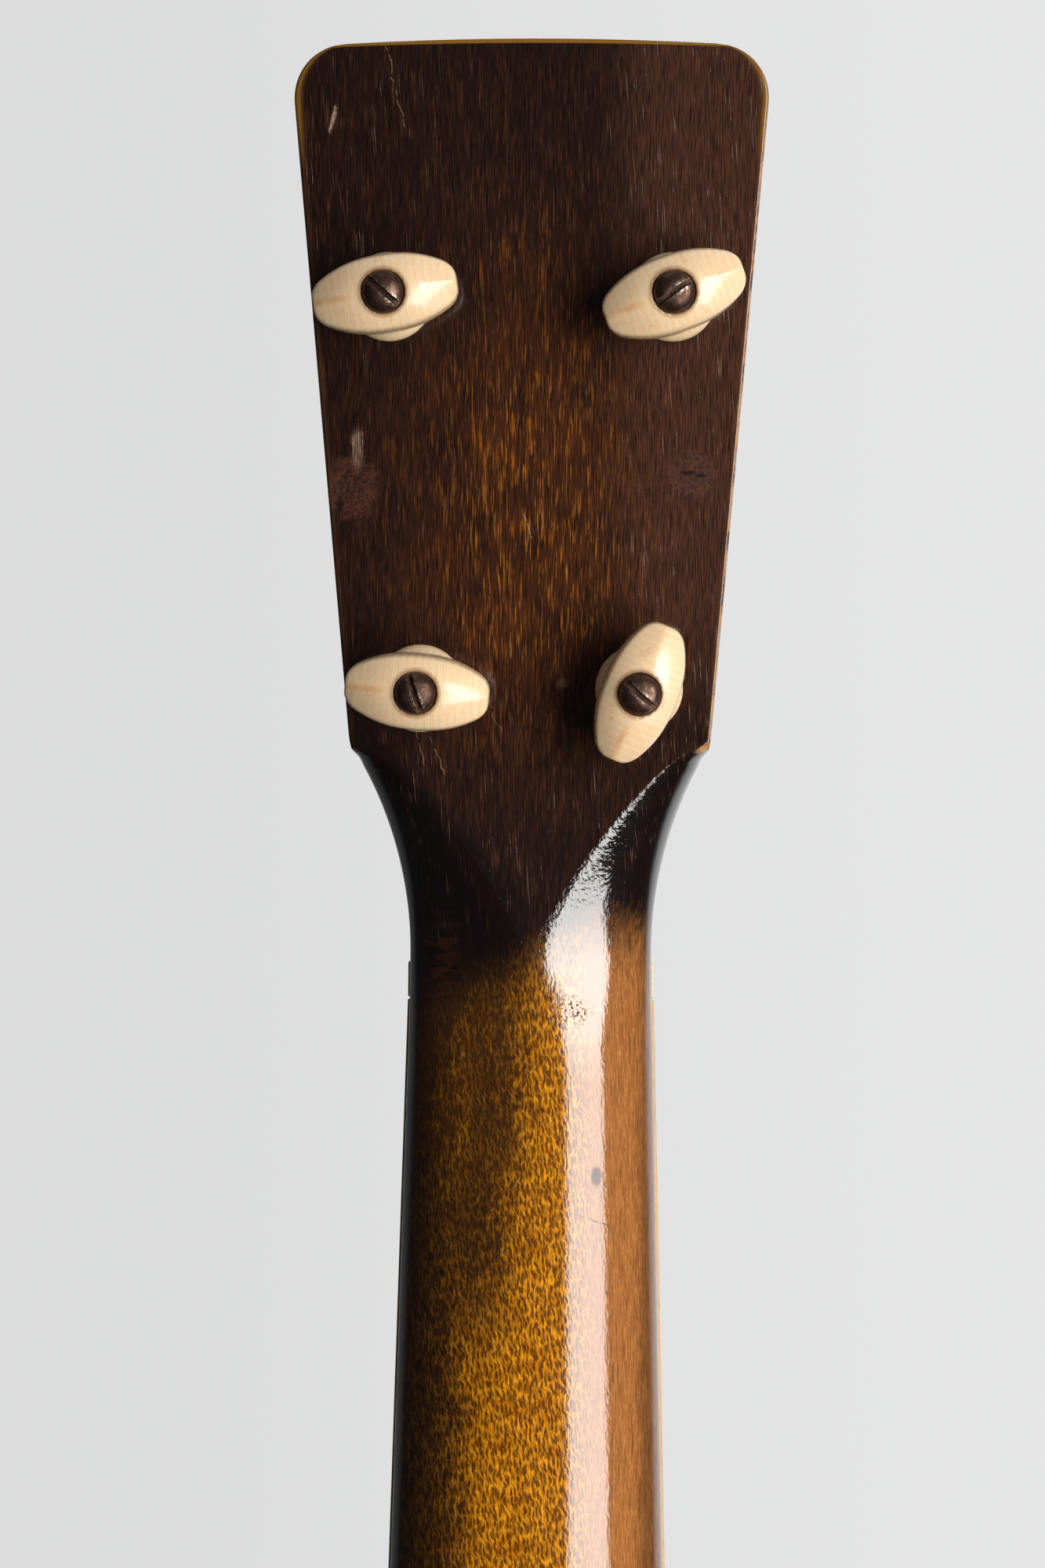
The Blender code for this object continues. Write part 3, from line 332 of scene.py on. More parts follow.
def thicken(bm, direction):
    """Extrudes all faces of a flat sheet into a solid."""
    made = bmesh.ops.extrude_face_region(bm, geom=bm.faces[:])
    verts = [item for item in made["geom"] if isinstance(item, bmesh.types.BMVert)]
    bmesh.ops.translate(bm, verts=verts, vec=direction)
    return bm


def prism(points, direction):
    """A flat outline extruded into a solid."""
    bm = bmesh.new()
    bmesh.ops.contextual_create(bm, geom=add_loop(bm, points))
    return thicken(bm, direction)


def band(outer, inner, direction):
    """The ring between two closed outlines with the same number of points, extruded."""
    bm = bmesh.new()
    bmesh.ops.bridge_loops(bm, edges=add_loop(bm, outer) + add_loop(bm, inner))
    return thicken(bm, direction)


def turned(profile, steps=48, closed=False):
    """A profile of (radius, height) points turned about Z. A closed profile makes a ring."""
    bm = bmesh.new()
    verts = [bm.verts.new((radius, 0.0, height)) for radius, height in profile]
    pairs = list(zip(verts, verts[1:])) + ([(verts[-1], verts[0])] if closed else [])
    edges = [bm.edges.new(pair) for pair in pairs]
    bmesh.ops.spin(
        bm,
        geom=verts + edges,
        axis=(0.0, 0.0, 1.0),
        cent=(0.0, 0.0, 0.0),
        angle=2.0 * math.pi,
        steps=steps,
        use_merge=True,
    )
    bmesh.ops.remove_doubles(bm, verts=bm.verts, dist=1e-7)
    return bm


def rounded_edges(bm, width, limit=40.0, segments=2):
    """Bevels every edge that is sharper than the limit, in degrees."""
    bmesh.ops.recalc_face_normals(bm, faces=bm.faces)
    edges = [e for e in bm.edges if e.is_manifold and e.calc_face_angle(0.0) > math.radians(limit)]
    bmesh.ops.bevel(
        bm,
        geom=edges,
        offset=width,
        affect="EDGES",
        segments=segments,
        profile=0.5,
        clamp_overlap=True,
        material=-1,
    )
    return bm


def circle(radius, steps):
    """Points evenly round a circle."""
    return [
        (radius * math.cos(2.0 * math.pi * i / steps), radius * math.sin(2.0 * math.pi * i / steps))
        for i in range(steps)
    ]


def tube(path, radius, sides=10):
    """A round cord along a path of points, with filled ends."""
    sections = []
    for i, point in enumerate(path):
        along = (path[min(i + 1, len(path) - 1)] - path[max(i - 1, 0)]).normalized()
        aside = along.orthogonal().normalized() if i == 0 else (aside - along * aside.dot(along)).normalized()
        other = along.cross(aside)
        sections.append([point + aside * x + other * y for x, y in circle(radius, sides)])
    return lofted(sections)


def smoothstep(low, high, value):
    """0 below low, 1 above high and a soft curve between."""
    t = min(1.0, max(0.0, (value - low) / (high - low)))
    return t * t * (3.0 - 2.0 * t)


print("The tools are ready")

# %% [markdown]
# ## The carved neck and head
#
# Neck and head are one piece of wood. It is a loft: a cross-section every millimetre or so, each with a flat
# front, and a back that is rounded on both sides of a flat. On the shaft the flat has no width. At the head it
# widens to a pointed tongue between two carved flutes, and then fills the whole head. The path bends back by
# twelve degrees, so the sections fan out there. As we go, every point keeps two notes for the finish: how worn
# its edge is, and how much the varnish ripples there.

# %% Sizes of the neck and head
GLUE_Y = -3.0 * MM
VENEER = 0.27 * MM  # closes the glue gap under the fingerboard
NECK_WALL = 12.5 * MM
NECK_WALL_AT_HEEL = 14.0 * MM
HEAD_PITCH = math.radians(12.0)
HEAD_START = 5.8 * MM
HEAD_TOP = 134.4 * MM
HEAD_CROWN = 0.7 * MM
HEAD_HALF_AT_CORNER = 25.1 * MM
HEAD_FLARE = 0.0828
HEAD_TOP_RADIUS = 8.0 * MM
HEAD_EDGE = 0.6 * MM
CORNER_S = 36.0 * MM
CORNER_RADIUS = 3.2 * MM
COVE_START = 7.0 * MM
COVE_RADIUS = 58.0 * MM
COVE_NECK_HALF = 17.36 * MM
NECK_HALF_AT_NUT = 17.4 * MM
NECK_FLARE = 0.0223
TONGUE_TIP = 4.4 * MM
TONGUE_ROOT = 38.0 * MM
TONGUE_ROOT_HALF = 22.0 * MM
TONGUE_POWER = 1.55
TONGUE_EAR = 2.6 * MM
TONGUE_EAR_POWER = 16.0
TONGUE_SLOPE = 0.27
CREASE_FADE = 12.0 * MM  # how far below the nut the crease dies out
CREASE_FULL = 11.0 * MM
FLUTE_FULLNESS = 1.0
BACK_FILLET = 80.0 * MM
NECK_END = -172.98 * MM
HEEL_LENGTH = 34.0 * MM
HEEL_DEPTH = 47.0 * MM
HEEL_CAP_HALF = 8.0 * MM
HEEL_POWER = 1.35
print("The head is", round((HEAD_TOP - CORNER_S) / MM, 1), "mm high above its corners")

# %% Outline of the neck and head
def cove_half(s):
    """Half width on the hollow curve between the neck and the head's corner."""
    along = max(0.0, s - COVE_START)
    return COVE_NECK_HALF + COVE_RADIUS - math.sqrt(COVE_RADIUS**2 - along**2)


def head_side_half(s):
    """Half width on the head's straight side."""
    return HEAD_HALF_AT_CORNER + HEAD_FLARE * (s - CORNER_S)


def outline_half(s):
    """Half width of the neck and head at s, which is measured from the nut along the front."""
    if s <= 0.0:
        return NECK_HALF_AT_NUT - NECK_FLARE * s
    if s <= COVE_START:
        return COVE_NECK_HALF + (NECK_HALF_AT_NUT - COVE_NECK_HALF) * (1.0 - s / COVE_START)
    if s < CORNER_S - CORNER_RADIUS:
        return cove_half(s)
    half = head_side_half(s)
    if s < CORNER_S + CORNER_RADIUS:
        start = CORNER_S - CORNER_RADIUS
        t = (s - start) / (2.0 * CORNER_RADIUS)
        ends = (cove_half(start), HEAD_HALF_AT_CORNER, head_side_half(CORNER_S + CORNER_RADIUS))
        return (1 - t) ** 2 * ends[0] + 2 * t * (1 - t) * ends[1] + t * t * ends[2]
    drop = s - (HEAD_TOP - HEAD_CROWN - HEAD_TOP_RADIUS)
    if drop > 0.0:
        drop = min(drop, HEAD_TOP_RADIUS)
        half -= HEAD_TOP_RADIUS - math.sqrt(HEAD_TOP_RADIUS**2 - drop**2)
    return half


def tongue_half(s):
    """Half width of the flat on the head's back, which narrows to a tongue on the neck."""
    t = max(0.0, s - TONGUE_TIP) / (TONGUE_ROOT - TONGUE_TIP)
    half = TONGUE_ROOT_HALF * t**TONGUE_POWER + TONGUE_EAR * t**TONGUE_EAR_POWER
    return min(half, outline_half(s) - HEAD_EDGE)


def front_point(s):
    """(y, z) of the front face at s."""
    past = max(0.0, s - HEAD_START)
    return Vector((GLUE_Y - past * math.sin(HEAD_PITCH), min(s, HEAD_START) + past * math.cos(HEAD_PITCH)))


def heel_share(s):
    """0 on the shaft, growing to 1 at the heel's end."""
    return min(1.0, max(0.0, (NECK_END + HEEL_LENGTH - s) / HEEL_LENGTH))


def back_point(s):
    """(y, z) of the back's centre line at s: the shaft, an arc, then the head's flat back."""
    neck_y = GLUE_Y - NECK_WALL
    up_head = Vector((-math.sin(HEAD_PITCH), math.cos(HEAD_PITCH)))
    out_of_back = Vector((-math.cos(HEAD_PITCH), -math.sin(HEAD_PITCH)))
    head_line = front_point(HEAD_START) + NECK_WALL * out_of_back
    meet = head_line + up_head * (head_line.x - neck_y) / math.sin(HEAD_PITCH)
    reach = BACK_FILLET * math.tan(HEAD_PITCH / 2.0)
    arc_start = meet.y - reach
    arc_end = HEAD_START + (meet - head_line).length + reach
    if s <= arc_start:
        slope = (NECK_WALL_AT_HEEL - NECK_WALL) / (NECK_END - arc_start)
        shaft = GLUE_Y - NECK_WALL - slope * (s - arc_start)
        curve = 1.0 - math.sqrt(1.0 - heel_share(s) ** 2 * 0.999)
        return Vector((shaft + (GLUE_Y - HEEL_DEPTH - shaft) * curve, s))
    if s >= arc_end:
        return front_point(s) + NECK_WALL * out_of_back
    turn = HEAD_PITCH * (s - arc_start) / (arc_end - arc_start)
    return Vector((neck_y - BACK_FILLET * (1.0 - math.cos(turn)), arc_start + BACK_FILLET * math.sin(turn)))


print(
    "Half width at the nut, the corner and the top:",
    [round(outline_half(s) / MM, 2) for s in (0.0, CORNER_S, 0.12)],
)

# %% Cross-sections of the neck
FLAT_SHARES = (0.0, 0.2, 0.4, 0.6, 0.8, 0.93, 0.985)
SIDE_STEPS = 22
FRONT_EDGE = 0.35 * MM


def neck_section(s):
    """Points of the closed outline at s, each with its wear, its ripple and whether it lies in a flute."""
    front, back = front_point(s), back_point(s)
    depth = (back - front).length
    outward = (back - front) / depth
    share = smoothstep(0.0, 1.0, heel_share(s))
    half = outline_half(s)
    flat = tongue_half(s) + 0.15 * MM + HEEL_CAP_HALF * share
    edge = half - flat
    in_head = smoothstep(CORNER_S - 1.5 * MM, CORNER_S + 1.0 * MM, s)
    rounding = (depth - 0.6 * MM) * (1.0 - in_head) + HEAD_EDGE * in_head
    crease = TONGUE_SLOPE * smoothstep(-CREASE_FADE, CREASE_FULL, s) * (1.0 - in_head)
    fullness = FLUTE_FULLNESS * smoothstep(-8.0 * MM, 10.0 * MM, s) * (1.0 - in_head)
    power = 2.0 + (HEEL_POWER - 2.0) * share + fullness
    near_tongue = smoothstep(2.0 * MM, 12.0 * MM, s) * (1.0 - in_head)
    worn_crease = smoothstep(27.0 * MM, 36.0 * MM, s) * (1.0 - in_head)
    face = -VENEER * (1.0 - in_head)
    right = [
        (flat * part, depth, 0.4 * in_head if part == FLAT_SHARES[-1] else 0.0, 0.0, 0.0)
        for part in FLAT_SHARES
    ]
    for i in range(SIDE_STEPS + 1):
        turn = math.pi / 2.0 * i / SIDE_STEPS
        across = math.sin(turn) ** (2.0 / power)
        rise = math.cos(turn) ** (2.0 / power)
        lift = crease * edge * across + (rounding - crease * edge) * (1.0 - rise)
        worn = in_head * math.sin(2.0 * turn) ** 0.5 if 0 < i < SIDE_STEPS else 0.0
        if i == 0:
            worn = max(worn, 0.8 * worn_crease, 0.7 * in_head)
        ripple = near_tongue * math.exp(-edge * across / (3.0 * MM))
        fluted = smoothstep(0.0, 0.06, across) * (1.0 - in_head)
        right.append((flat + edge * across, depth - lift, worn, ripple, fluted))
    right += [
        (half, FRONT_EDGE + face, 0.3 * in_head, 0.0, 0.0),
        (half - 0.1 * MM, 0.1 * MM + face, 0.5 * in_head, 0.0, 0.0),
        (half - FRONT_EDGE, face, 0.0, 0.0, 0.0),
        (half * 0.6, face, 0.0, 0.0, 0.0),
        (half * 0.3, face, 0.0, 0.0, 0.0),
    ]
    left = [(-x, *rest) for x, *rest in reversed(right[1:])]
    middle_front = (0.0, face, 0.0, 0.0, 0.0)
    crown = HEAD_CROWN * smoothstep(HEAD_TOP - 2.0 * HEAD_TOP_RADIUS, HEAD_TOP - HEAD_CROWN, s)
    points, notes = [], []
    for x, along, *note in [*right, middle_front, *left]:
        up = crown * (1.0 - (x / half) ** 2)
        y = front.x + outward.x * along + outward.y * up
        z = front.y + outward.y * along - outward.x * up
        points.append(Vector((x, y, z)))
        notes.append(note)
    return points, notes


def neck_stations():
    """Where the sections stand: close together where the shape turns."""
    places = [NECK_END + HEEL_LENGTH * (1.0 - math.cos(math.pi / 2.0 * i / 30)) for i in range(31)]
    places += [(-136.0 + 4.0 * i) * MM for i in range(30)]
    places += [(-17.0 + 1.0 * i) * MM for i in range(23)]
    places += [(6.4 + 0.8 * i) * MM for i in range(33)]
    places += [(32.4 + 0.4 * i) * MM for i in range(18)]
    places += [(41.0 + 4.0 * i) * MM for i in range(21)]
    arc_start = HEAD_TOP - HEAD_CROWN - HEAD_TOP_RADIUS
    places += [arc_start + HEAD_TOP_RADIUS * math.sin(math.radians(75.0) * i / 16) for i in range(17)]
    return [*places, HEAD_TOP - HEAD_CROWN]


print("The neck needs", len(neck_stations()), "cross-sections")

# %% The neck's mesh
sections, notes = zip(*[neck_section(s) for s in neck_stations()])
sections, notes = list(sections), list(notes)
neck_bm = lofted(sections)
for index, note_name in enumerate(("wear", "ripple", "flute")):
    layer = neck_bm.verts.layers.float.new(note_name)
    for vert, note in zip(neck_bm.verts, [note for row in notes for note in row]):
        vert[layer] = note[index]
up_head = Vector((0.0, -math.sin(HEAD_PITCH), math.cos(HEAD_PITCH)))
neck_bm.verts.ensure_lookup_table()
rim_verts = set(neck_bm.verts[-len(sections[-1]):])
rim_edges = [edge for edge in neck_bm.edges if edge.verts[0] in rim_verts and edge.verts[1] in rim_verts]
bmesh.ops.recalc_face_normals(neck_bm, faces=neck_bm.faces)
bmesh.ops.bevel(
    neck_bm,
    geom=rim_edges,
    offset=0.24 * MM,
    affect="EDGES",
    segments=3,
    profile=0.5,
    clamp_overlap=True,
    material=-1,
)
wear_layer = neck_bm.verts.layers.float["wear"]
top_level = max(vert.co.dot(up_head) for vert in neck_bm.verts)
for vert in neck_bm.verts:
    local_top = top_level - HEAD_CROWN * (vert.co.x / outline_half(0.11)) ** 2
    vert[wear_layer] = max(
        vert[wear_layer], smoothstep(local_top - 0.9 * MM, local_top - 0.3 * MM, vert.co.dot(up_head))
    )
print("The neck has", len(sections), "sections and", len(neck_bm.faces), "faces")

# %% [markdown]
# ## A stained and varnished sunburst
#
# The maker stained pale maple almost black around the head and let the colour fade to amber along the neck. On
# top lies a thick clear varnish. We build it in the same order. First come masks that say how dark the stain is
# at each place, and one that paints shade left of the tongue. Then comes the grain: short orange streaks where
# the stain is thin, and on the neck the small dark flecks that maple shows on a rounded face. Pores, scratches
# and worn edges lie over that, with painted glint in the pale scratches and partly painted light on the right and
# upper worn edges. The varnish is the shader's coat, and a very fine bump gives it the ripples that break up the
# light's edge.

# %% Masks in the wood's own coordinates
BACK_OF_HEAD = (0.0, -math.cos(HEAD_PITCH), -math.sin(HEAD_PITCH))


def soft_spot(place, centre, radii, ragged=0.0, edge=0.35):
    """1 inside an ellipse in the plane of the back, with a soft or ragged edge. Sizes are in millimetres."""
    moved = vector_calc("SUBTRACT", place, (centre[0], 0.0, centre[1]))
    flat = stretched(moved, (1.0 / radii[0], 0.0, 1.0 / radii[1]))
    away = vector_calc("LENGTH", flat)
    if ragged:
        rough = noise(place, 2.2 / min(radii), detail=4.0, roughness=0.65)
        away = plus(away, times(minus(rough, 0.5), ragged))
    return span(away, 1.0 + edge, 1.0 - edge)


def scratch_line(place, start, end, width, wander=0.25):
    """1 along a thin line from start to end in the plane of the back, broken up like a real scratch."""
    (x1, z1), (x2, z2) = start, end
    length = math.hypot(x2 - x1, z2 - z1)
    bend = noise(place, 0.35, detail=1.0)
    shifted = times(minus(bend, 0.5), wander * 8.0)
    moved = vector_calc("SUBTRACT", place, (x1, 0.0, z1))
    along_way = ((x2 - x1) / length, 0.0, (z2 - z1) / length)
    across_way = (along_way[2], 0.0, -along_way[0])
    along = vector_calc("DOT_PRODUCT", moved, along_way)
    across = vector_calc("DOT_PRODUCT", moved, across_way)
    off = calc("ABSOLUTE", plus(across, shifted))
    line = span(off, width, width * 0.35)
    ends = times(span(along, -0.3, 0.3), span(along, length + 0.3, length - 0.3))
    broken = span(noise(place, 1.3, detail=3.0), 0.36, 0.52)
    return times(line, ends, broken)


print("The masks can be made")

# %% [markdown]
# The colours below are linear. Stain colours are multiplied over the amber wood, which is how a real stain works
# and keeps the flecks visible in the darker parts.

# %% Colours of the stained maple
ALMOST_BLACK = (0.0050, 0.0019, 0.0013, 1.0)
DARK_BROWN = (0.0140, 0.0048, 0.0034, 1.0)
RED_BROWN = (0.062, 0.0170, 0.0036, 1.0)
ORANGE_STREAK = (0.270, 0.086, 0.0095, 1.0)
AMBER = (0.560, 0.185, 0.0030, 1.0)
GOLD = (0.900, 0.350, 0.0110, 1.0)
FLECK_BROWN = (0.075, 0.0190, 0.0006, 1.0)
RIM_ORANGE = (0.42, 0.150, 0.040, 1.0)
BARE_WOOD = (0.56, 0.30, 0.130, 1.0)
PALE_SCRATCH_AND_GLINT = (0.34, 0.20, 0.130, 1.0)
KNOT_BROWN = (0.105, 0.033, 0.017, 1.0)

stained_maple, tree, shader = new_finish(
    "stained_maple",
    roughness=0.50,
    coat_weight=1.0,
    coat_roughness=0.02,
    coat_ior=1.62,
    specular_ior_level=0.05,
)
place = millimetres(tree)
x, y, z = add(tree, "ShaderNodeSeparateXYZ", {0: place}).outputs
depth_in_head = vector_calc("DOT_PRODUCT", place, BACK_OF_HEAD)
on_back = span(depth_in_head, 8.0, 11.0)
wear = noted(tree, "wear")
ripple = noted(tree, "ripple")
in_flute = noted(tree, "flute")

# The head leans back, so we shear the coordinates above the nut. The grain then runs along the head's face.
lean = times(most(z, 0.0), math.tan(HEAD_PITCH))
bent = add(tree, "ShaderNodeCombineXYZ", {0: x, 1: plus(y, lean), 2: z}).outputs[0]

cloud = noise(stretched(place, (0.16, 0.16, 0.075)), 1.0, detail=3.0, roughness=0.6)
patchy = noise(stretched(place, (0.45, 0.45, 0.22)), 1.0, detail=4.0, roughness=0.65)
long_grain = noise(stretched(bent, (2.8, 1.4, 0.17)), 1.0, detail=3.0, roughness=0.6, distortion=0.3)
fibre = noise(stretched(bent, (6.5, 2.0, 0.30)), 1.0, detail=2.0, roughness=0.6)
streak_noise = noise(stretched(bent, (3.9, 1.4, 0.27)), 1.0, detail=2.0, roughness=0.6, distortion=0.25)
streaks = span(streak_noise, 0.51, 0.66)
print("The wood has its grain")

# %% Head: thin stain in the middle, dark all round, and painted shade left of the tongue
middle = soft_spot(place, (0.5, 66.0), (15.5, 27.0), edge=0.90)
core = soft_spot(place, (1.0, 63.0), (9.5, 20.0), edge=0.9)
thin_stain = times(middle, span(cloud, 0.30, 0.62, 0.25, 1.0))
head_colour = blend(thin_stain, DARK_BROWN, RED_BROWN)
brown_streaks = times(span(long_grain, 0.52, 0.68), span(patchy, 0.38, 0.62, 0.1, 0.8))
head_colour = blend(brown_streaks, head_colour, (0.052, 0.0160, 0.0060, 1.0))
streak_area = calc("ADD", times(core, 0.75), times(middle, 0.35), clamp=True)
upper_middle = soft_spot(place, (-1.0, 100.0), (9.0, 14.0), edge=0.8)
streak_area = plus(streak_area, plus(times(upper_middle, 0.16), 0.07))
streak_share = times(streaks, streak_area, span(patchy, 0.33, 0.58, 0.30, 1.0))
head_colour = blend(streak_share, head_colour, ORANGE_STREAK)
right_side = times(span(x, 8.0, 18.0), span(z, 34.0, 58.0))
head_colour = blend(times(right_side, 0.50), head_colour, (0.092, 0.034, 0.018, 1.0))
fibre_shade = span(fibre, 0.34, 0.66, 0.35, 1.55)
head_colour = add(
    tree, "ShaderNodeVectorMath", {0: head_colour, "Scale": fibre_shade}, operation="SCALE"
).outputs[0]
flute_stain_and_shade_colour = blend(span(patchy, 0.45, 0.75), ALMOST_BLACK, (0.0120, 0.0036, 0.0022, 1.0))
below_head = span(z, 38.0, 33.0)
# Painted shade: the flat just left of the tongue is darkened with the flutes' dark colour, where the left flute turns
# away from the softbox.
slant = plus(x, times(z, 0.925))
painted_shade_left_of_tongue = times(span(slant, 12.6, 10.4), span(x, 0.8, -0.8))
painted_shade_left_of_tongue = times(painted_shade_left_of_tongue, 0.88)
dark_base_and_shade = blend(times(below_head, most(in_flute, painted_shade_left_of_tongue)), head_colour, flute_stain_and_shade_colour)
print("The head is stained")

# %% Neck: amber maple full of small slanting flecks
girth = times(calc("ARCTAN2", x, minus(2.0, y)), 17.0)
on_neck = add(tree, "ShaderNodeCombineXYZ", {0: girth, 1: z}).outputs[0]
fleck_place = stretched(on_neck, (1.0, 1.0, 1.0), turn=(0.0, 0.0, math.radians(-8.0)))
drift = add(tree, "ShaderNodeTexNoise", {"Vector": fleck_place, "Scale": 0.5, "Detail": 2.0}).outputs["Color"]
drift = vector_calc("MULTIPLY", drift, (1.1, 1.1, 0.0))
fleck_place = vector_calc("ADD", fleck_place, drift)


def dashes(cell, size, soft):
    """1 inside small upright dashes, one to a cell. Cell and size are widths and heights in millimetres."""
    squared = stretched(fleck_place, (1.0 / cell[0], 1.0 / cell[1], 1.0))
    points = add(
        tree,
        "ShaderNodeTexVoronoi",
        {"Vector": squared, "Scale": 1.0, "Randomness": 0.85},
        voronoi_dimensions="2D",
    )
    off = vector_calc("SUBTRACT", squared, points.outputs["Position"])
    off = stretched(off, (2.0 * cell[0] / size[0], 2.0 * cell[1] / size[1], 0.0))
    away = vector_calc("LENGTH", off)
    return span(away, 1.0 + soft, 1.0 - soft)


flecks = dashes((0.58, 1.20), (0.34, 1.25), 0.55)
thin_dashes = dashes((0.37, 0.95), (0.17, 0.95), 0.60)
stretched_flecks = stretched(fleck_place, (4.6, 0.9, 1.0))
fine_flecks = span(noise(stretched_flecks, 1.0, detail=2.0, roughness=0.6), 0.44, 0.64)
gold_share = span(noise(stretched(place, (0.4, 0.4, 0.7)), 1.0, detail=3.0), 0.30, 0.60)
amber_wood = blend(gold_share, AMBER, GOLD)
amber_wood = blend(times(fine_flecks, 0.45), amber_wood, FLECK_BROWN)
amber_wood = blend(times(flecks, 0.84), amber_wood, FLECK_BROWN)
amber_wood = blend(times(thin_dashes, 0.60), amber_wood, FLECK_BROWN)
right_wood = blend(span(fibre, 0.38, 0.64), (0.50, 0.195, 0.050, 1.0), (0.33, 0.120, 0.030, 1.0))
right_wood = blend(times(most(thin_dashes, times(flecks, 0.6)), 0.42), right_wood, (0.150, 0.047, 0.012, 1.0))
right_wood = blend(span(long_grain, 0.56, 0.70, 0.0, 0.55), right_wood, (0.095, 0.033, 0.014, 1.0))
amber_wood = blend(span(x, 5.5, 10.5), amber_wood, right_wood)
print("The neck is flecked")

# %% Stain on the neck: its left third, its edges, a dark cloud and everything near the head
mottle = times(minus(patchy, 0.5), 9.0)
finer = noise(stretched(place, (1.1, 1.1, 0.5)), 1.0, detail=4.0, roughness=0.7)
mottle = plus(mottle, times(minus(finer, 0.5), 9.0))
ragged_x = plus(x, mottle)
left_dark = span(ragged_x, -5.0, -12.5)
left_dark = times(left_dark, span(z, -40.0, -14.0, 0.98, 0.90))
side_dark = span(plus(x, times(mottle, 0.35)), -9.0, -14.5)
ragged_place = add(tree, "ShaderNodeCombineXYZ", {0: ragged_x, 2: plus(z, mottle)}).outputs[0]
dark_cloud = times(soft_spot(ragged_place, (-5.2, -16.0), (4.0, 18.0), edge=0.8), 0.92)
low_cloud = times(soft_spot(ragged_place, (-7.6, -33.0), (5.6, 15.0), edge=0.7), 0.95)
right_edge_dark = times(span(plus(x, times(mottle, 0.3)), 14.6, 17.0), 0.62)
grainy = span(finer, 0.30, 0.62, 1.0, 0.82)
stain = times(most(left_dark, side_dark, dark_cloud, low_cloud, right_edge_dark), grainy)
stained_neck = blend(stain, amber_wood, (0.0150, 0.0058, 0.0030, 1.0))
dusk = times(span(z, -42.0, 2.0), span(ragged_x, 5.0, -4.0))
dusk = times(dusk, span(finer, 0.35, 0.62, 0.90, 0.35))
stained_neck = blend(dusk, stained_neck, (0.050, 0.0170, 0.0034, 1.0))
ragged_z = plus(z, times(mottle, 0.9))
slope_z = minus(ragged_z, span(x, -12.0, 12.0, -1.0, 8.0))
near_head = span(slope_z, -7.0, 6.0)
colour = blend(near_head, stained_neck, dark_base_and_shade)

# Faint reddish bands across the dark side.
band_place = stretched(place, (0.30, 0.35, 1.1), turn=(0.0, math.radians(-12.0), 0.0))
band_noise = noise(band_place, 1.0, detail=2.0, distortion=0.6)
band_area = times(span(x, -8.0, -12.5), span(x, -17.2, -14.5))
band_area = times(band_area, span(z, -16.0, -8.0), span(z, 14.0, 6.0))
cross_bands = times(span(band_noise, 0.42, 0.66), band_area, 0.30)
colour = blend(cross_bands, colour, (0.095, 0.027, 0.009, 1.0))
print("The wood's colour has", len(tree.nodes), "nodes so far")

# %% [markdown]
# Wear is what makes the old varnish believable. Two knots were left by former screws or branches, hairline
# scratches follow the grain, and the sharp edges of the head are rubbed down to bare wood in places. The pale
# colour of the scratches is partly painted glint. The bare wood on the right edge and the olive on the upper
# edges are partly painted light.

# %% Knots, scratches and worn edges, with painted glint and light
left_knot = soft_spot(place, (-24.6, 69.0), (3.6, 4.2), ragged=1.0, edge=0.22)
right_knot = soft_spot(place, (22.3, 71.0), (3.5, 3.4), ragged=0.9, edge=0.25)
faint_patch = times(soft_spot(place, (16.8, 69.0), (3.4, 2.6), ragged=1.2, edge=0.4), 0.45)
knot_mask = times(most(left_knot, right_knot, faint_patch), on_back)
knot_rings = span(noise(place, 0.9, detail=6.0, roughness=0.75, distortion=1.8), 0.40, 0.60)
knot_colour = blend(knot_rings, (0.0220, 0.0080, 0.0056, 1.0), KNOT_BROWN)
colour = blend(times(knot_mask, 0.75), colour, knot_colour)
cracks = most(
    soft_spot(place, (22.0, 71.2), (0.95, 0.28), ragged=1.3, edge=0.5),
    soft_spot(place, (23.6, 70.8), (0.75, 0.25), ragged=1.5, edge=0.5),
    times(soft_spot(place, (-26.4, 66.6), (0.5, 1.4), ragged=1.6, edge=0.5), 0.7),
)
colour = blend(times(cracks, on_back), colour, ALMOST_BLACK)

# The hairlines and scratches are real, but their pale colour below is partly painted glint: fine scratches in varnish
# catch the light.
hair_noise = noise(
    stretched(stretched(bent, (1.0, 1.0, 1.0), turn=(0.0, math.radians(4.0), 0.0)), (9.5, 0.6, 0.15)),
    1.0,
    detail=1.0,
)
hair_area = most(
    span(x, 4.0, 18.0, 0.25, 1.0),
    times(span(x, -6.0, -20.0), span(z, 70.0, 100.0)),
    span(z, 52.0, 34.0, 0.2, 0.9),
)
hair_broken = span(patchy, 0.42, 0.60, 0.10, 1.0)
hairlines_with_glint = times(span(hair_noise, 0.655, 0.740), times(hair_area, hair_broken))
hairlines_with_glint = times(hairlines_with_glint, span(z, 2.0, 16.0))
scratches_and_glints = most(
    times(hairlines_with_glint, 0.42),
    scratch_line(place, (-26.8, 120.1), (-27.6, 116.6), 0.34, 0.06),
    times(scratch_line(place, (-19.8, 128.0), (-17.6, 117.2), 0.13), 0.45),
    times(scratch_line(place, (-0.9, 65.6), (-0.2, 62.2), 0.16), 0.8),
    times(soft_spot(place, (-23.9, 74.6), (0.8, 2.6), ragged=1.4, edge=0.5), span(fibre, 0.42, 0.60), 0.8),
    times(scratch_line(place, (-17.2, 40.4), (-14.6, 31.4), 0.09), 0.5),
    times(scratch_line(place, (-14.9, 39.0), (-12.0, 30.0), 0.08), 0.5),
    times(scratch_line(place, (-6.6, 43.2), (-4.0, 36.0), 0.09), 0.4),
    times(soft_spot(place, (4.6, 42.6), (0.8, 0.6), ragged=1.8, edge=0.4), 0.30),
)
scratches_and_glints = times(scratches_and_glints, on_back)
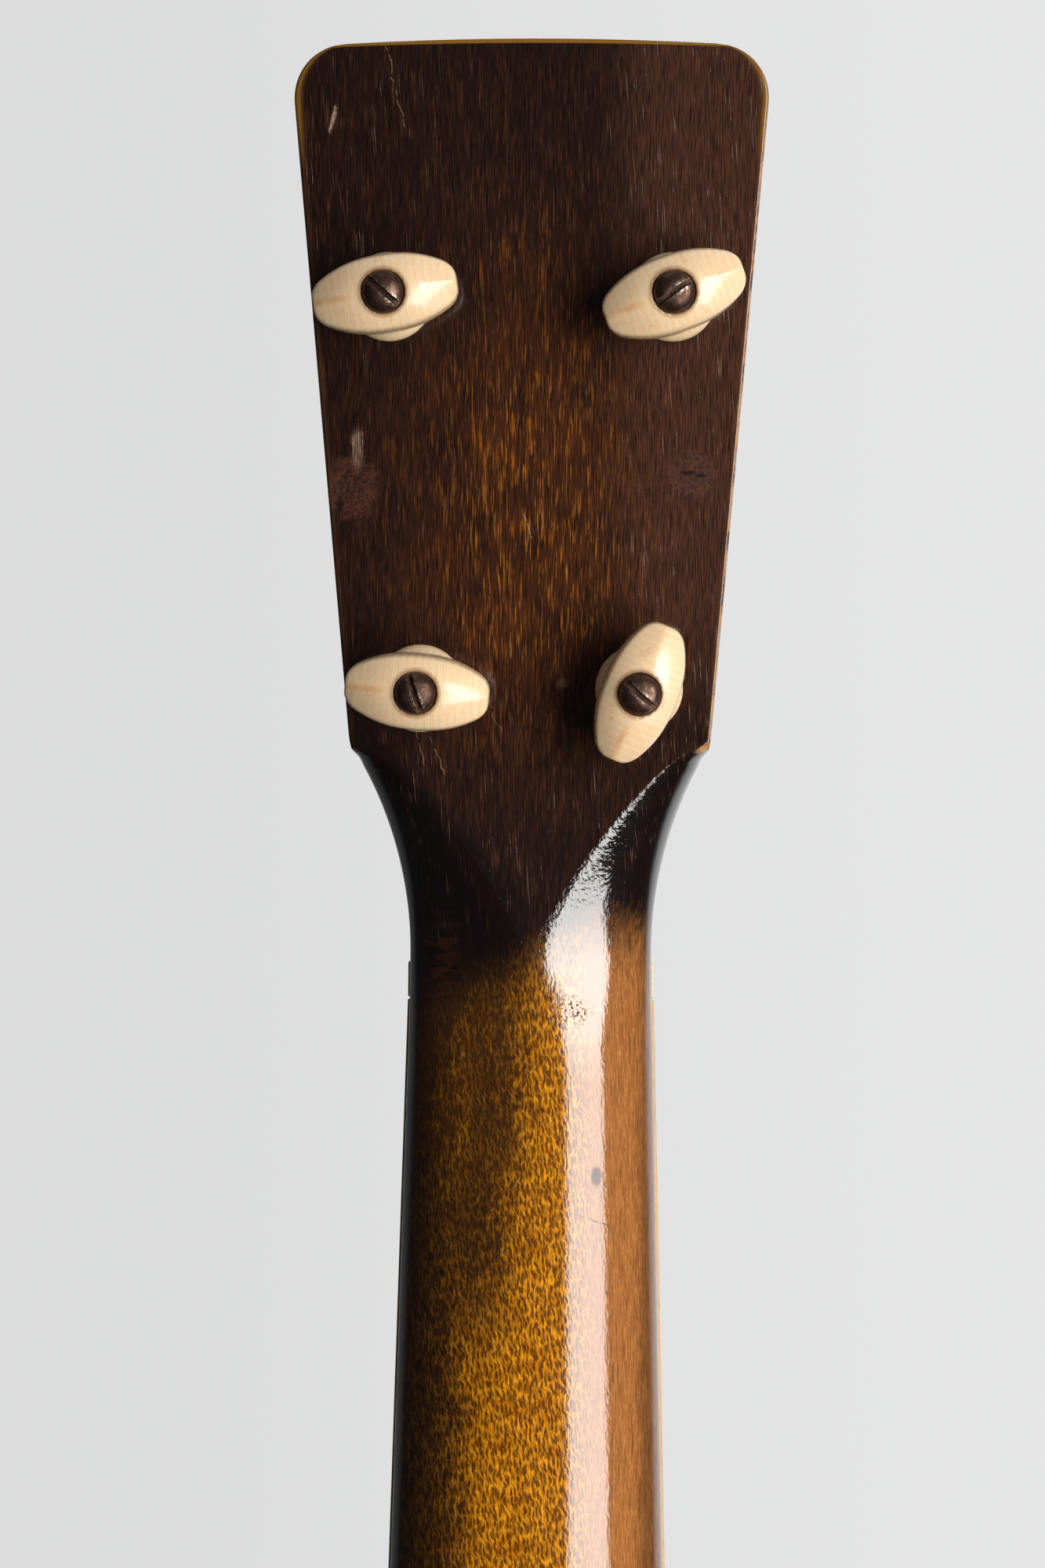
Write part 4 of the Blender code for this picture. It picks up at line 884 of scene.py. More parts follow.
# Partly painted glint: the scratches are painted pale.
colour = blend(scratches_and_glints, colour, PALE_SCRATCH_AND_GLINT)

specks = times(
    soft_spot(place, (5.7, -2.6), (2.6, 1.9), ragged=0.9, edge=0.6),
    span(noise(place, 2.4, detail=3.0), 0.55, 0.60),
)
rubbed = soft_spot(place, (9.6, -25.5), (0.7, 1.3), ragged=1.1, edge=0.35)
thin_scratch = scratch_line(place, (7.6, -31.0), (11.4, -32.4), 0.11)

wear_noise = noise(stretched(place, (0.5, 0.5, 0.28)), 1.0, detail=4.0, roughness=0.7)
# More bare wood on the head's right edge. This is partly real wear and partly painted light, where the softbox falls
# on that edge.
right_edge = span(x, 14.0, 22.0, -0.16, 0.10)
low_corner = times(span(z, 44.0, 36.0), 0.05)
wear_level = plus(wear_noise, plus(right_edge, low_corner))
worn = times(span(wear_level, 0.46, 0.60), span(wear, 0.62, 0.98))
worn = times(worn, span(z, 22.0, 32.0))
warm_rim = times(span(wear, 0.25, 0.9), span(z, 32.0, 40.0, 0.0, 0.34))
colour = blend(warm_rim, colour, (0.150, 0.062, 0.020, 1.0))
worn_and_lit_colour = blend(span(wear_level, 0.52, 0.66), RIM_ORANGE, BARE_WOOD)
colour = blend(times(worn, 0.85), colour, worn_and_lit_colour)
# Olive on the head's worn upper edges: partly worn wood, partly painted light falling from above on the top edge.
olive_edge_and_top_light = times(span(z, 111.0, 120.0), span(wear, 0.25, 0.75))
colour = blend(times(olive_edge_and_top_light, 0.9), colour, (0.27, 0.125, 0.016, 1.0))

# Roughness of the coat, and the bumps.
coat_rough = plus(times(scratches_and_glints, 0.35), span(patchy, 0.2, 0.8, 0.012, 0.045))
coat_rough = plus(coat_rough, span(z, 33.0, 40.0, 0.0, 0.06))
coat_rough = plus(coat_rough, times(knot_mask, 0.15))
coat_rough = plus(coat_rough, times(most(specks, rubbed), 0.5))
coat_level = minus(1.0, times(most(specks, times(rubbed, 0.75), times(thin_scratch, 0.6)), 0.85))
colour = blend(specks, colour, (0.130, 0.048, 0.014, 1.0))
colour = blend(times(rubbed, 0.8), colour, (0.30, 0.30, 0.32, 1.0))
colour = blend(thin_scratch, colour, (0.14, 0.060, 0.022, 1.0))

orange_peel = noise(place, 1.5, detail=2.0, roughness=0.5)
grain_relief = plus(times(fibre, 0.8), times(flecks, -0.45))
peel_normal = bump(times(minus(orange_peel, 0.5), ripple), 0.00006)
pore_relief = minus(times(grain_relief, 0.55), plus(times(scratches_and_glints, 0.8), times(specks, 1.2)))
coat_normal = bump(pore_relief, 0.000012, over=peel_normal)
varnish_index = minus(span(z, -14.0, -2.0, 1.60, 1.80), span(z, 20.0, 34.0, 0.0, 0.20))
tree.links.new(varnish_index, shader.inputs["Coat IOR"])
wire(
    tree,
    shader,
    base_color=colour,
    coat_roughness=coat_rough,
    coat_weight=coat_level,
    coat_normal=coat_normal,
    normal=coat_normal,
)
print("The finished wood has", len(tree.nodes), "nodes")

# %% [markdown]
# ## Boring the head
#
# Each peg passes through a stepped hole, wide in front for the ferrule. We bore the fine head with the same
# cutters that a machinist would use, as turned shapes on the four peg axes, and keep the result as plain mesh.

# %% Peg axes
PEGS = (
    (-19.5 * MM, 99.3 * MM, math.radians(9.5)),
    (19.5 * MM, 99.3 * MM, math.radians(20.0)),
    (-15.2 * MM, 45.4 * MM, math.radians(-5.2)),
    (15.2 * MM, 45.4 * MM, math.radians(68.0)),
)
SCREW_TURNS = (math.radians(-40.0), math.radians(35.0), math.radians(-72.0), math.radians(-42.0))
BUTTON_BASE = NECK_WALL + 0.3 * MM
PEG_BORE = 3.3 * MM
BUSHING_SEAT_RADIUS = 4.5 * MM
BUSHING_SEAT_DEPTH = 6.0 * MM


def peg_axis(number):
    """The frame of one peg hole: Z out of the back of the head, with its origin on the head's front face."""
    hole_x, s, _ = PEGS[number - 1]
    front = front_point(s)
    sine, cosine = math.sin(HEAD_PITCH), math.cos(HEAD_PITCH)
    axes = Matrix(((1.0, 0.0, 0.0), (0.0, -sine, -cosine), (0.0, cosine, -sine)))
    return Matrix.Translation((hole_x, front.x, front.y)) @ axes.to_4x4()


def peg_place(number, turned_with_wing=True):
    """The frame of one peg's button, whose wing points along X."""
    turn = PEGS[number - 1][2] if turned_with_wing else 0.0
    return peg_axis(number) @ Matrix.Translation((0.0, 0.0, BUTTON_BASE)) @ Matrix.Rotation(turn, 4, "Z")


def helper_object(name, bm):
    """An object that only lends its shape to a modifier."""
    bmesh.ops.recalc_face_normals(bm, faces=bm.faces)
    mesh = bpy.data.meshes.new(name)
    bm.to_mesh(mesh)
    bm.free()
    helper = bpy.data.objects.new(name, mesh)
    scene.collection.objects.link(helper)
    return helper


def baked_mesh(helper, *others):
    """The mesh of an object with its modifiers applied. The helpers are removed."""
    bpy.context.view_layer.update()
    mesh = bpy.data.meshes.new_from_object(helper.evaluated_get(bpy.context.evaluated_depsgraph_get()))
    for thing in (helper, *others):
        bpy.data.objects.remove(thing)
    return mesh


def combine(helper, other, operation="DIFFERENCE"):
    """A Boolean between two helpers, exact so that thin walls survive."""
    modifier = helper.modifiers.new(operation.lower(), "BOOLEAN")
    modifier.operation = operation
    modifier.solver = "EXACT"
    modifier.object = other


print("The peg holes stand", round((PEGS[0][1] - PEGS[2][1]) / MM, 1), "mm apart along the head")

# %% Bored neck
bores = []
for number in range(1, 5):
    bore = turned(
        [
            (0.0, -3.0 * MM),
            (BUSHING_SEAT_RADIUS, -3.0 * MM),
            (BUSHING_SEAT_RADIUS, BUSHING_SEAT_DEPTH),
            (PEG_BORE, BUSHING_SEAT_DEPTH),
            (PEG_BORE, NECK_WALL + 3.0 * MM),
            (0.0, NECK_WALL + 3.0 * MM),
        ]
    )
    bmesh.ops.transform(bore, matrix=peg_axis(number), verts=bore.verts)
    bores.append(helper_object(f"bore_{number}", bore))
neck_blank = helper_object("neck_blank", neck_bm)
for bore in bores:
    combine(neck_blank, bore)
carved_neck = settle_mesh(
    "carved_neck", baked_mesh(neck_blank, *bores), stained_maple, "instrument", "neck_wood", "neck", sharp=30.0
)
print("The bored neck has", len(carved_neck.data.polygons), "faces")

# %% [markdown]
# ## Other finishes
#
# The peg buttons are ivoroid, a cream plastic that was rolled in thin sheets to imitate ivory, so faint lines run
# across each wing. It lets a little light in, which softens its shading. The metal parts are old: the screws
# have browned, and only the edges that a screwdriver touched are bright.

# %% Ivoroid
ivoroid, tree, shader = new_finish(
    "ivoroid",
    roughness=0.30,
    coat_weight=0.55,
    coat_roughness=0.16,
    ior=1.5,
    subsurface_weight=0.55,
    subsurface_scale=0.0018,
)
shader.inputs["Subsurface Radius"].default_value = (1.0, 0.55, 0.28)
along = noted(tree, "along")
across = noted(tree, "across")
height = noted(tree, "height")
place = millimetres(tree)
uneven = noise(place, 0.45, detail=2.0)
wave_place = plus(along, times(uneven, 0.55))
lines = times(plus(calc("SINE", times(wave_place, 16.5)), 1.0), 0.5)
second_lines = times(plus(calc("SINE", times(wave_place, 6.1)), 1.0), 0.5)
sheets = plus(times(lines, 0.6), times(second_lines, 0.4))
base = blend(sheets, (0.940, 0.620, 0.345, 1.0), (0.975, 0.745, 0.510, 1.0))
near_ridge = times(span(calc("ABSOLUTE", across), 0.80, 0.05), span(calc("ABSOLUTE", along), 3.4, 6.4))
# Amber along the ridge near the tips, stronger towards the wing's negative tip.
ridge_amber = times(near_ridge, span(along, 2.0, -6.0, 0.10, 0.55))
base = blend(times(ridge_amber, span(uneven, 0.35, 0.55, 0.5, 1.0)), base, (0.640, 0.330, 0.110, 1.0))
amber_spots = times(span(noise(place, 0.75, detail=3.0, roughness=0.6), 0.58, 0.74), 0.40)
base = blend(amber_spots, base, (0.700, 0.400, 0.160, 1.0))
radius = calc("SQRT", plus(calc("POWER", along, 2.0), calc("POWER", across, 2.0)))
screw_grime_and_foot_dark = times(span(radius, 3.75, 3.0), span(height, 9.5, 11.0))
# Darker towards the foot of the skirt, where the button meets the head.
skirt_foot_dark = span(height, 1.4, 0.1)
screw_grime_and_foot_dark = most(times(screw_grime_and_foot_dark, 0.72), times(skirt_foot_dark, 0.45))
base = blend(screw_grime_and_foot_dark, base, (0.250, 0.110, 0.035, 1.0))
rough = span(noise(place, 1.4, detail=3.0), 0.3, 0.7, 0.24, 0.38)
wire(tree, shader, base_color=base, roughness=rough)
ridges = plus(times(lines, 0.4), times(noise(place, 1.0, detail=3.0), 1.4))
wire(tree, shader, normal=bump(ridges, 0.000012))
print("The ivoroid has", len(tree.nodes), "nodes")

# %% Metals
def metal(name, dull, bright, share, roughness, wear_attribute=None):
    """An aged metal: a tarnish of two colours, small scratches, and bright worn edges where there is an attribute."""
    finish, tree, shader = new_finish(name, metallic=0.92)
    place = millimetres(tree)
    stain = noise(place, 0.9, detail=5.0, roughness=0.65)
    scratched = noise(stretched(place, (6.0, 1.2, 1.6), turn=(0.3, 0.5, 0.8)), 1.0, detail=3.0)
    tarnish = calc(
        "ADD", span(stain, 0.50 - share, 0.76 - share), times(span(scratched, 0.60, 0.72), 0.25), clamp=True
    )
    base = blend(tarnish, dull, bright)
    rough = span(stain, 0.3, 0.7, roughness + 0.10, roughness - 0.06)
    if wear_attribute:
        rubbed = noted(tree, wear_attribute)
        chewed = times(rubbed, span(noise(place, 2.1, detail=3.0), 0.42, 0.60))
        base = blend(chewed, base, (0.62, 0.50, 0.40, 1.0))
        rough = minus(rough, times(chewed, 0.14))
    wire(tree, shader, base_color=base, roughness=rough)
    relief = plus(times(scratched, 0.6), stain)
    wire(tree, shader, normal=bump(relief, 0.00005))
    return finish


browned_steel = metal(
    "browned_steel", (0.085, 0.046, 0.033, 1.0), (0.190, 0.110, 0.078, 1.0), 0.06, 0.44, "slot_wear"
)
nickel = metal("nickel", (0.30, 0.26, 0.20, 1.0), (0.56, 0.53, 0.47, 1.0), 0.10, 0.26)
fret_metal = metal("fret_metal", (0.36, 0.33, 0.27, 1.0), (0.62, 0.60, 0.54, 1.0), 0.12, 0.24)
print("Metals:", browned_steel.name, nickel.name, fret_metal.name)

# %% [markdown]
# ## Peg buttons
#
# A button is a turned skirt with a lens-shaped wing across it. The wing is cut square at both tips and has a low
# roof, whose ridge shows near the tips and fades in the middle. We join both shapes, sink the screw's seat, and
# turn the result into one even skin. Smoothing that skin gives the soft corners of buttons polished by fingers.

# %% Wing of a button
SKIRT_RADIUS = 6.1 * MM
SKIRT_HEIGHT = 2.6 * MM
WING_HALF_LENGTH = 9.85 * MM
WING_HALF_WIDTH = 5.25 * MM
WING_TIP_HALF = 2.25 * MM
WING_SIDE_POWER = 2.35
WING_CORNER = 1.20 * MM
WING_CORNER_START = 0.86  # as a share of the half length
WING_TOP = 13.2 * MM
WING_TOP_AT_TIP = 10.4 * MM
WING_ROOF = 1.75 * MM
WING_BASE_AT_TIP = 5.2 * MM
SCREW_HEAD_RADIUS = 2.8 * MM
SCREW_HEAD_HEIGHT = 2.1 * MM
SCREW_SEAT = WING_TOP - 0.9 * MM
POST_RADIUS = 2.7 * MM
POST_SOCKET = 6.5 * MM
SHANK_RADIUS = 1.1 * MM
VOXEL = 0.17 * MM


def wing_section(x):
    """The wing's outline across its length at x."""
    t = abs(x) / WING_HALF_LENGTH
    half = WING_HALF_WIDTH - (WING_HALF_WIDTH - WING_TIP_HALF) * t**WING_SIDE_POWER
    past_corner = max(0.0, (t - WING_CORNER_START) / (1.0 - WING_CORNER_START))
    half -= WING_CORNER * (1.0 - math.sqrt(max(0.0, 1.0 - past_corner**2)))
    top = WING_TOP - (WING_TOP - WING_TOP_AT_TIP) * t**2.2
    base = SKIRT_HEIGHT - 1.0 * MM + (WING_BASE_AT_TIP - SKIRT_HEIGHT + 1.0 * MM) * t**1.6
    roof = WING_ROOF * half / WING_HALF_WIDTH
    roundness = 1.9 - 0.65 * smoothstep(0.30, 0.85, t)
    shares = [i / 9 for i in range(10)]
    right = [(share * 0.90 * half, top - roof * share**roundness) for share in shares]
    right += [
        (0.955 * half, top - roof - 0.55 * MM),
        (half * 0.990, top - roof - 1.6 * MM),
        (half, (top + base) / 2.0 - 0.6 * MM),
        (0.92 * half, base + 1.1 * MM),
        (0.72 * half, base + 0.4 * MM),
        (0.5 * half, base),
    ]
    points = right + [(-y, z) for y, z in reversed(right[1:])]
    return [Vector((x, y, z)) for y, z in points]


def button_mesh(name):
    """Skirt and wing joined into one skin, with its bore and the seat of the screw."""
    skirt = helper_object(
        f"{name}_skirt",
        turned(
            [
                (0.0, 0.0),
                (SKIRT_RADIUS - 0.3 * MM, 0.0),
                (SKIRT_RADIUS, 0.3 * MM),
                (SKIRT_RADIUS, 1.3 * MM),
                (SKIRT_RADIUS - 0.35 * MM, 2.0 * MM),
                (SKIRT_RADIUS - 1.0 * MM, 2.7 * MM),
                (SKIRT_RADIUS - 1.9 * MM, 3.4 * MM),
                (0.0, 3.8 * MM),
            ],
            steps=72,
        ),
    )
    stations = [WING_HALF_LENGTH * math.sin(math.pi / 2.0 * (i / 20 - 1.0)) for i in range(41)]
    wing = helper_object(f"{name}_wing", lofted([wing_section(x) for x in stations]))
    seat = helper_object(
        f"{name}_seat",
        turned(
            [
                (0.0, -1.0 * MM),
                (POST_RADIUS + 0.3 * MM, -1.0 * MM),
                (POST_RADIUS + 0.3 * MM, POST_SOCKET + 0.3 * MM),
                (SHANK_RADIUS + 0.4 * MM, POST_SOCKET + 0.3 * MM),
                (SHANK_RADIUS + 0.4 * MM, SCREW_SEAT - 0.45 * MM),
                (SCREW_HEAD_RADIUS + 0.12 * MM, SCREW_SEAT - 0.45 * MM),
                (SCREW_HEAD_RADIUS + 0.12 * MM, WING_TOP + 2.0 * MM),
                (0.0, WING_TOP + 2.0 * MM),
            ],
            steps=48,
        ),
    )
    combine(skirt, wing, "UNION")
    combine(skirt, seat)
    skin = skirt.modifiers.new("skin", "REMESH")
    skin.mode = "VOXEL"
    skin.voxel_size = VOXEL
    polish = skirt.modifiers.new("polish", "SMOOTH")
    polish.factor = 0.5
    polish.iterations = 14
    return baked_mesh(skirt, wing, seat)


plain_button = button_mesh("button")
for note_name, axis in (("along", 0), ("across", 1), ("height", 2)):
    layer = plain_button.attributes.new(note_name, "FLOAT", "POINT")
    layer.data.foreach_set("value", [vert.co[axis] / MM for vert in plain_button.vertices])
for number in range(1, 5):
    mesh = plain_button.copy()
    mesh.transform(peg_place(number))
    settle_mesh(
        f"button_{number}", mesh, ivoroid, f"peg_{number}", "ivoroid", f"peg_button_{number}", sharp=180.0
    )
print("One button has", len(plain_button.polygons), "faces")

# %% [markdown]
# ## Screws
#
# Each button is held by a small round-head screw, whose slot has been chewed by screwdrivers. The dome is a
# quarter arc turned round its axis. The slot is cut out, every sharp edge gets a small bevel, and the slot's
# edges are marked so that the finish can make them bright. Each slot points its own way.

# %% Screws
SLOT_WIDTH = 0.8 * MM
SLOT_DEPTH = 1.25 * MM
SCREW_LENGTH = 9.0 * MM


def screw_mesh(name, slot_turn):
    """A slotted round-head screw on the Z axis, with a note of how worn its edges are."""
    rim = SCREW_SEAT + 0.45 * MM
    dome = [(math.pi / 2.0) * i / 14 for i in range(14)]
    profile = [
        (0.0, SCREW_SEAT - SCREW_LENGTH),
        (SHANK_RADIUS, SCREW_SEAT - SCREW_LENGTH),
        (SHANK_RADIUS, SCREW_SEAT - 0.3 * MM),
    ]
    profile += [
        (SCREW_HEAD_RADIUS - 0.12 * MM, SCREW_SEAT - 0.3 * MM), (SCREW_HEAD_RADIUS, SCREW_SEAT - 0.15 * MM)
    ]
    profile += [
        (SCREW_HEAD_RADIUS * math.cos(a) ** 0.8, rim + (SCREW_HEAD_HEIGHT - 0.45 * MM) * math.sin(a))
        for a in dome
    ]
    profile += [(0.0, SCREW_SEAT + SCREW_HEAD_HEIGHT)]
    blank = helper_object(name, turned(profile, steps=72))
    slot = bmesh.new()
    bmesh.ops.create_cube(slot, size=1.0)
    bmesh.ops.subdivide_edges(slot, edges=slot.edges[:], cuts=6, use_grid_fill=True)
    bmesh.ops.scale(slot, vec=(8.0 * MM, SLOT_WIDTH, 4.0 * MM), verts=slot.verts)
    bmesh.ops.translate(
        slot, vec=(0.0, 0.0, SCREW_SEAT + SCREW_HEAD_HEIGHT - SLOT_DEPTH + 2.0 * MM), verts=slot.verts
    )
    cutter = helper_object(f"{name}_slot", slot)
    combine(blank, cutter)
    edge = blank.modifiers.new("edge", "BEVEL")
    edge.width = 0.07 * MM
    edge.segments = 2
    edge.limit_method = "ANGLE"
    edge.angle_limit = math.radians(32.0)
    mesh = baked_mesh(blank, cutter)
    wear = mesh.attributes.new("slot_wear", "FLOAT", "POINT")
    shares = []
    for vert in mesh.vertices:
        beside_slot = 1.0 - smoothstep(0.05 * MM, 0.50 * MM, abs(abs(vert.co.y) - SLOT_WIDTH / 2.0))
        above = smoothstep(SCREW_SEAT + 0.9 * MM, SCREW_SEAT + 1.2 * MM, vert.co.z)
        towards_end = smoothstep(-0.6 * MM, 1.6 * MM, vert.co.x)
        shares.append(beside_slot * above * (0.35 + 0.65 * towards_end))
    wear.data.foreach_set("value", shares)
    mesh.transform(Matrix.Rotation(slot_turn, 4, "Z"))
    return mesh


for number, slot_turn in enumerate(SCREW_TURNS, start=1):
    mesh = screw_mesh(f"screw_blank_{number}", slot_turn)
    mesh.transform(peg_place(number, turned_with_wing=False))
    settle_mesh(
        f"screw_{number}",
        mesh,
        browned_steel,
        f"screw_{number}",
        "screw_steel",
        f"peg_screw_{number}",
        sharp=50.0,
    )
print("The slots are turned by", [round(math.degrees(turn)) for turn in SCREW_TURNS], "degrees")

# %% [markdown]
# ## Posts and ferrules
#
# On the front of the head each string winds on a slim post with a waist and a cross hole. A domed ferrule closes
# the hole round it. Both are turned on a lathe, and so are ours.

# %% Posts and ferrules
POST_FRONT = 14.0 * MM
POST_WAIST = 2.2 * MM
HOLE_HEIGHT = 8.5 * MM
HOLE_RADIUS = 0.7 * MM
FERRULE_RADIUS = 5.4 * MM
FERRULE_HEIGHT = 1.3 * MM

for number in range(1, 5):
    tip = -BUTTON_BASE - POST_FRONT
    rounded_tip = [
        (POST_RADIUS - 0.9 * MM + 0.9 * MM * math.sin(a), tip + 0.9 * MM * (1.0 - math.cos(a)))
        for a in [math.pi / 12.0 * i for i in range(7)]
    ]
    waist = [
        (
            POST_WAIST + (POST_RADIUS - POST_WAIST) * smoothstep(0.0, 1.0, abs(2.0 * share - 1.0) ** 3),
            tip + (3.0 + 6.0 * share) * MM,
        )
        for share in [i / 16 for i in range(17)]
    ]
    post = turned(
        [
            (0.0, tip),
            *rounded_tip,
            *waist,
            (POST_RADIUS, POST_SOCKET),
            (SHANK_RADIUS + 0.3 * MM, POST_SOCKET),
            (SHANK_RADIUS + 0.3 * MM, POST_SOCKET - 8.0 * MM),
            (0.0, POST_SOCKET - 8.0 * MM),
        ]
    )
    post_helper = helper_object(f"post_blank_{number}", post)
    drill = bmesh.new()
    bmesh.ops.create_cone(
        drill,
        cap_ends=True,
        segments=24,
        radius1=HOLE_RADIUS,
        radius2=HOLE_RADIUS,
        depth=12.0 * MM,
        matrix=Matrix.Translation(
            (0.0, 0.0, tip + POST_FRONT - HOLE_HEIGHT)
        ) @ Matrix.Rotation(math.pi / 2.0, 4, "Y"),
    )
    drill_helper = helper_object(f"drill_{number}", drill)
    combine(post_helper, drill_helper)
    mesh = baked_mesh(post_helper, drill_helper)
    mesh.transform(peg_place(number))
    settle_mesh(f"post_{number}", mesh, nickel, f"peg_{number}", "post_metal", f"peg_post_{number}", sharp=40.0)

    inner = POST_RADIUS + 0.3 * MM
    sleeve = BUSHING_SEAT_RADIUS - 0.15 * MM
    flange = [
        (inner + (FERRULE_RADIUS - inner) * math.sin(a), -FERRULE_HEIGHT * (0.28 + 0.72 * math.cos(a) ** 0.8))
        for a in [math.pi / 2.0 * (0.12 + 0.88 * i / 10) for i in range(10)]
    ]
    ferrule = turned(
        [
            (inner, BUSHING_SEAT_DEPTH - 0.3 * MM),
            (inner, -FERRULE_HEIGHT * 0.85),
            (inner + 0.15 * MM, -FERRULE_HEIGHT),
            *flange,
            (FERRULE_RADIUS, -0.3 * MM),
            (FERRULE_RADIUS - 0.05 * MM, -0.05 * MM),
            (sleeve, -0.05 * MM),
            (sleeve, BUSHING_SEAT_DEPTH - 0.3 * MM),
        ],
        closed=True,
    )
    bmesh.ops.transform(ferrule, matrix=peg_axis(number), verts=ferrule.verts)
    settle(
        f"ferrule_{number}",
        ferrule,
        nickel,
        "instrument",
        "bushing_metal",
        f"front_bushing_{number}",
        sharp=40.0,
    )
print("Four posts and four ferrules are in place")

# %% [markdown]
# ## Strings
#
# Four gut strings run from the bridge over the saddle and the nut to the posts. A string is a tube along a few
# points, with its corners rounded where it bends. Its windings turn with the peg, so they are a separate piece,
# a helix that climbs the post's waist and ends in the cross hole.

# %% Gut
gut, tree, shader = new_finish("gut", roughness=0.34, subsurface_weight=0.25, subsurface_scale=0.0006, ior=1.5)
place = millimetres(tree)
twist = noise(stretched(place, (2.0, 2.0, 0.5), turn=(0.0, math.radians(35.0), 0.0)), 1.0, detail=3.0)
wire(
    tree,
    shader,
    base_color=blend(twist, (0.52, 0.40, 0.24, 1.0), (0.72, 0.61, 0.42, 1.0)),
    normal=bump(twist, 0.00003),
)
print("The gut has", len(tree.nodes), "nodes")

# %% Strings and windings
SCALE = 343.0 * MM
SADDLE_Z = -SCALE - 1.5 * MM
NUT_THICKNESS = 5.2 * MM
BRIDGE_BACK = 13.0 * MM
BRIDGE_TOP = GLUE_Y + 6.2 * MM
SLOT_LENGTH = 5.0 * MM
STRING_RADII = (0.31 * MM, 0.4 * MM, 0.35 * MM, 0.31 * MM)
NUT_STRINGS = (-13.2 * MM, -4.4 * MM, 4.4 * MM, 13.2 * MM)
BRIDGE_STRINGS = (-20.4 * MM, -6.8 * MM, 6.8 * MM, 20.4 * MM)
STRING_PEGS = (3, 1, 2, 4)
WIND_START = 4.6 * MM
TURNS = 4.5
BEND_REACH = 0.8 * MM  # how far a string's corner is rounded to each side


def softened_path(points):
    """The path with each inner corner replaced by a short curve."""
    steps = 4
    path = [points[0]]
    for before, corner, after in zip(points, points[1:], points[2:]):
        into, out = (corner - before), (after - corner)
        cut = min(BEND_REACH, into.length / 2.2, out.length / 2.2)
        start, end = corner - into.normalized() * cut, corner + out.normalized() * cut
        for i in range(steps + 1):
            t = i / steps
            path.append(start * (1 - t) ** 2 + corner * 2 * t * (1 - t) + end * t * t)
    return [*path, points[-1]]


def string_route(index):
    """The corners of one string, from its knot behind the bridge to its post."""
    radius = STRING_RADII[index]
    peg_x, peg_s, _ = PEGS[STRING_PEGS[index] - 1]
    side = math.copysign(1.0, peg_x)
    base = front_point(peg_s)
    out = Vector((math.cos(HEAD_PITCH), math.sin(HEAD_PITCH)))
    post = base + out * WIND_START
    bridge_x = BRIDGE_STRINGS[index]
    return [
        Vector((bridge_x, BRIDGE_TOP - 2.4 * MM, SADDLE_Z - BRIDGE_BACK + 0.6 * MM)),
        Vector((bridge_x, BRIDGE_TOP + 0.7 * MM, SADDLE_Z - BRIDGE_BACK + SLOT_LENGTH - 0.4 * MM)),
        Vector((bridge_x, 5.45 * MM, SADDLE_Z - 2.0 * MM)),
        Vector((bridge_x, 5.6 * MM, SADDLE_Z)),
        Vector((NUT_STRINGS[index], 2.0 * MM, 0.0)),
        Vector((NUT_STRINGS[index], 2.0 * MM, NUT_THICKNESS)),
        Vector((peg_x - side * (POST_RADIUS + radius + 0.25 * MM), post.x, post.y)),
    ]


def winding_path(index):
    """A helix on the post, in the peg hole's own frame, that starts where the string arrives."""
    radius = STRING_RADII[index]
    number = STRING_PEGS[index]
    side = math.copysign(1.0, PEGS[number - 1][0])
    steps = int(TURNS * 28)
    path = []
    for i in range(steps + 1):
        share = i / steps
        ring = (POST_RADIUS + radius + 0.12 * MM) * (1.0 - share) + (POST_WAIST + radius + 0.05 * MM) * share
        angle = math.pi * (0.0 if side < 0 else 1.0) - side * 2.0 * math.pi * TURNS * share
        path.append(
            Vector(
                (
                    ring * math.cos(angle),
                    ring * math.sin(angle),
                    -(WIND_START + 0.25 * MM + 2.12 * radius * TURNS * share),
                ),
            ),
        )
    last = path[-1]
    path.append(Vector((last.x * 0.6, last.y * 0.6 + 0.3 * MM, -HOLE_HEIGHT)))
    return path


for index, radius in enumerate(STRING_RADII):
    line = tube(softened_path(string_route(index)), radius, sides=12)
    settle(f"gut_string_{index + 1}", line, gut, "instrument", "gut", f"string_{index + 1}")
    number = STRING_PEGS[index]
    winding = tube([peg_axis(number) @ point for point in winding_path(index)], radius, sides=8)
    settle(f"winding_{index + 1}", winding, gut, f"peg_{number}", "gut")
    knot = bmesh.new()
    bmesh.ops.create_uvsphere(knot, u_segments=20, v_segments=12, radius=1.35 * MM)
    for vert in knot.verts:
        angle = math.atan2(vert.co.y, vert.co.x)
        vert.co *= 1.0 + 0.16 * math.sin(3.0 * angle + 5.0 * vert.co.z / MM)
    bmesh.ops.scale(knot, vec=(0.8, 0.9, 0.75), verts=knot.verts)
    bmesh.ops.translate(
        knot, vec=string_route(index)[0] + Vector((0.0, -0.2 * MM, -1.35 * MM)), verts=knot.verts
    )
    settle(f"string_knot_{index + 1}", knot, gut, "instrument", "gut")
print("Strings with", TURNS, "turns on each post")

# %% [markdown]
# ## The sound box
#
# The body is a flat box with a waist: top and back plates, two ribs bent to the outline, and a cream binding that
# covers both edges. All of them follow one outline, a smooth curve through twelve measured points. The plates
# are sheets with that outline, and the bindings are the bands between two of them.

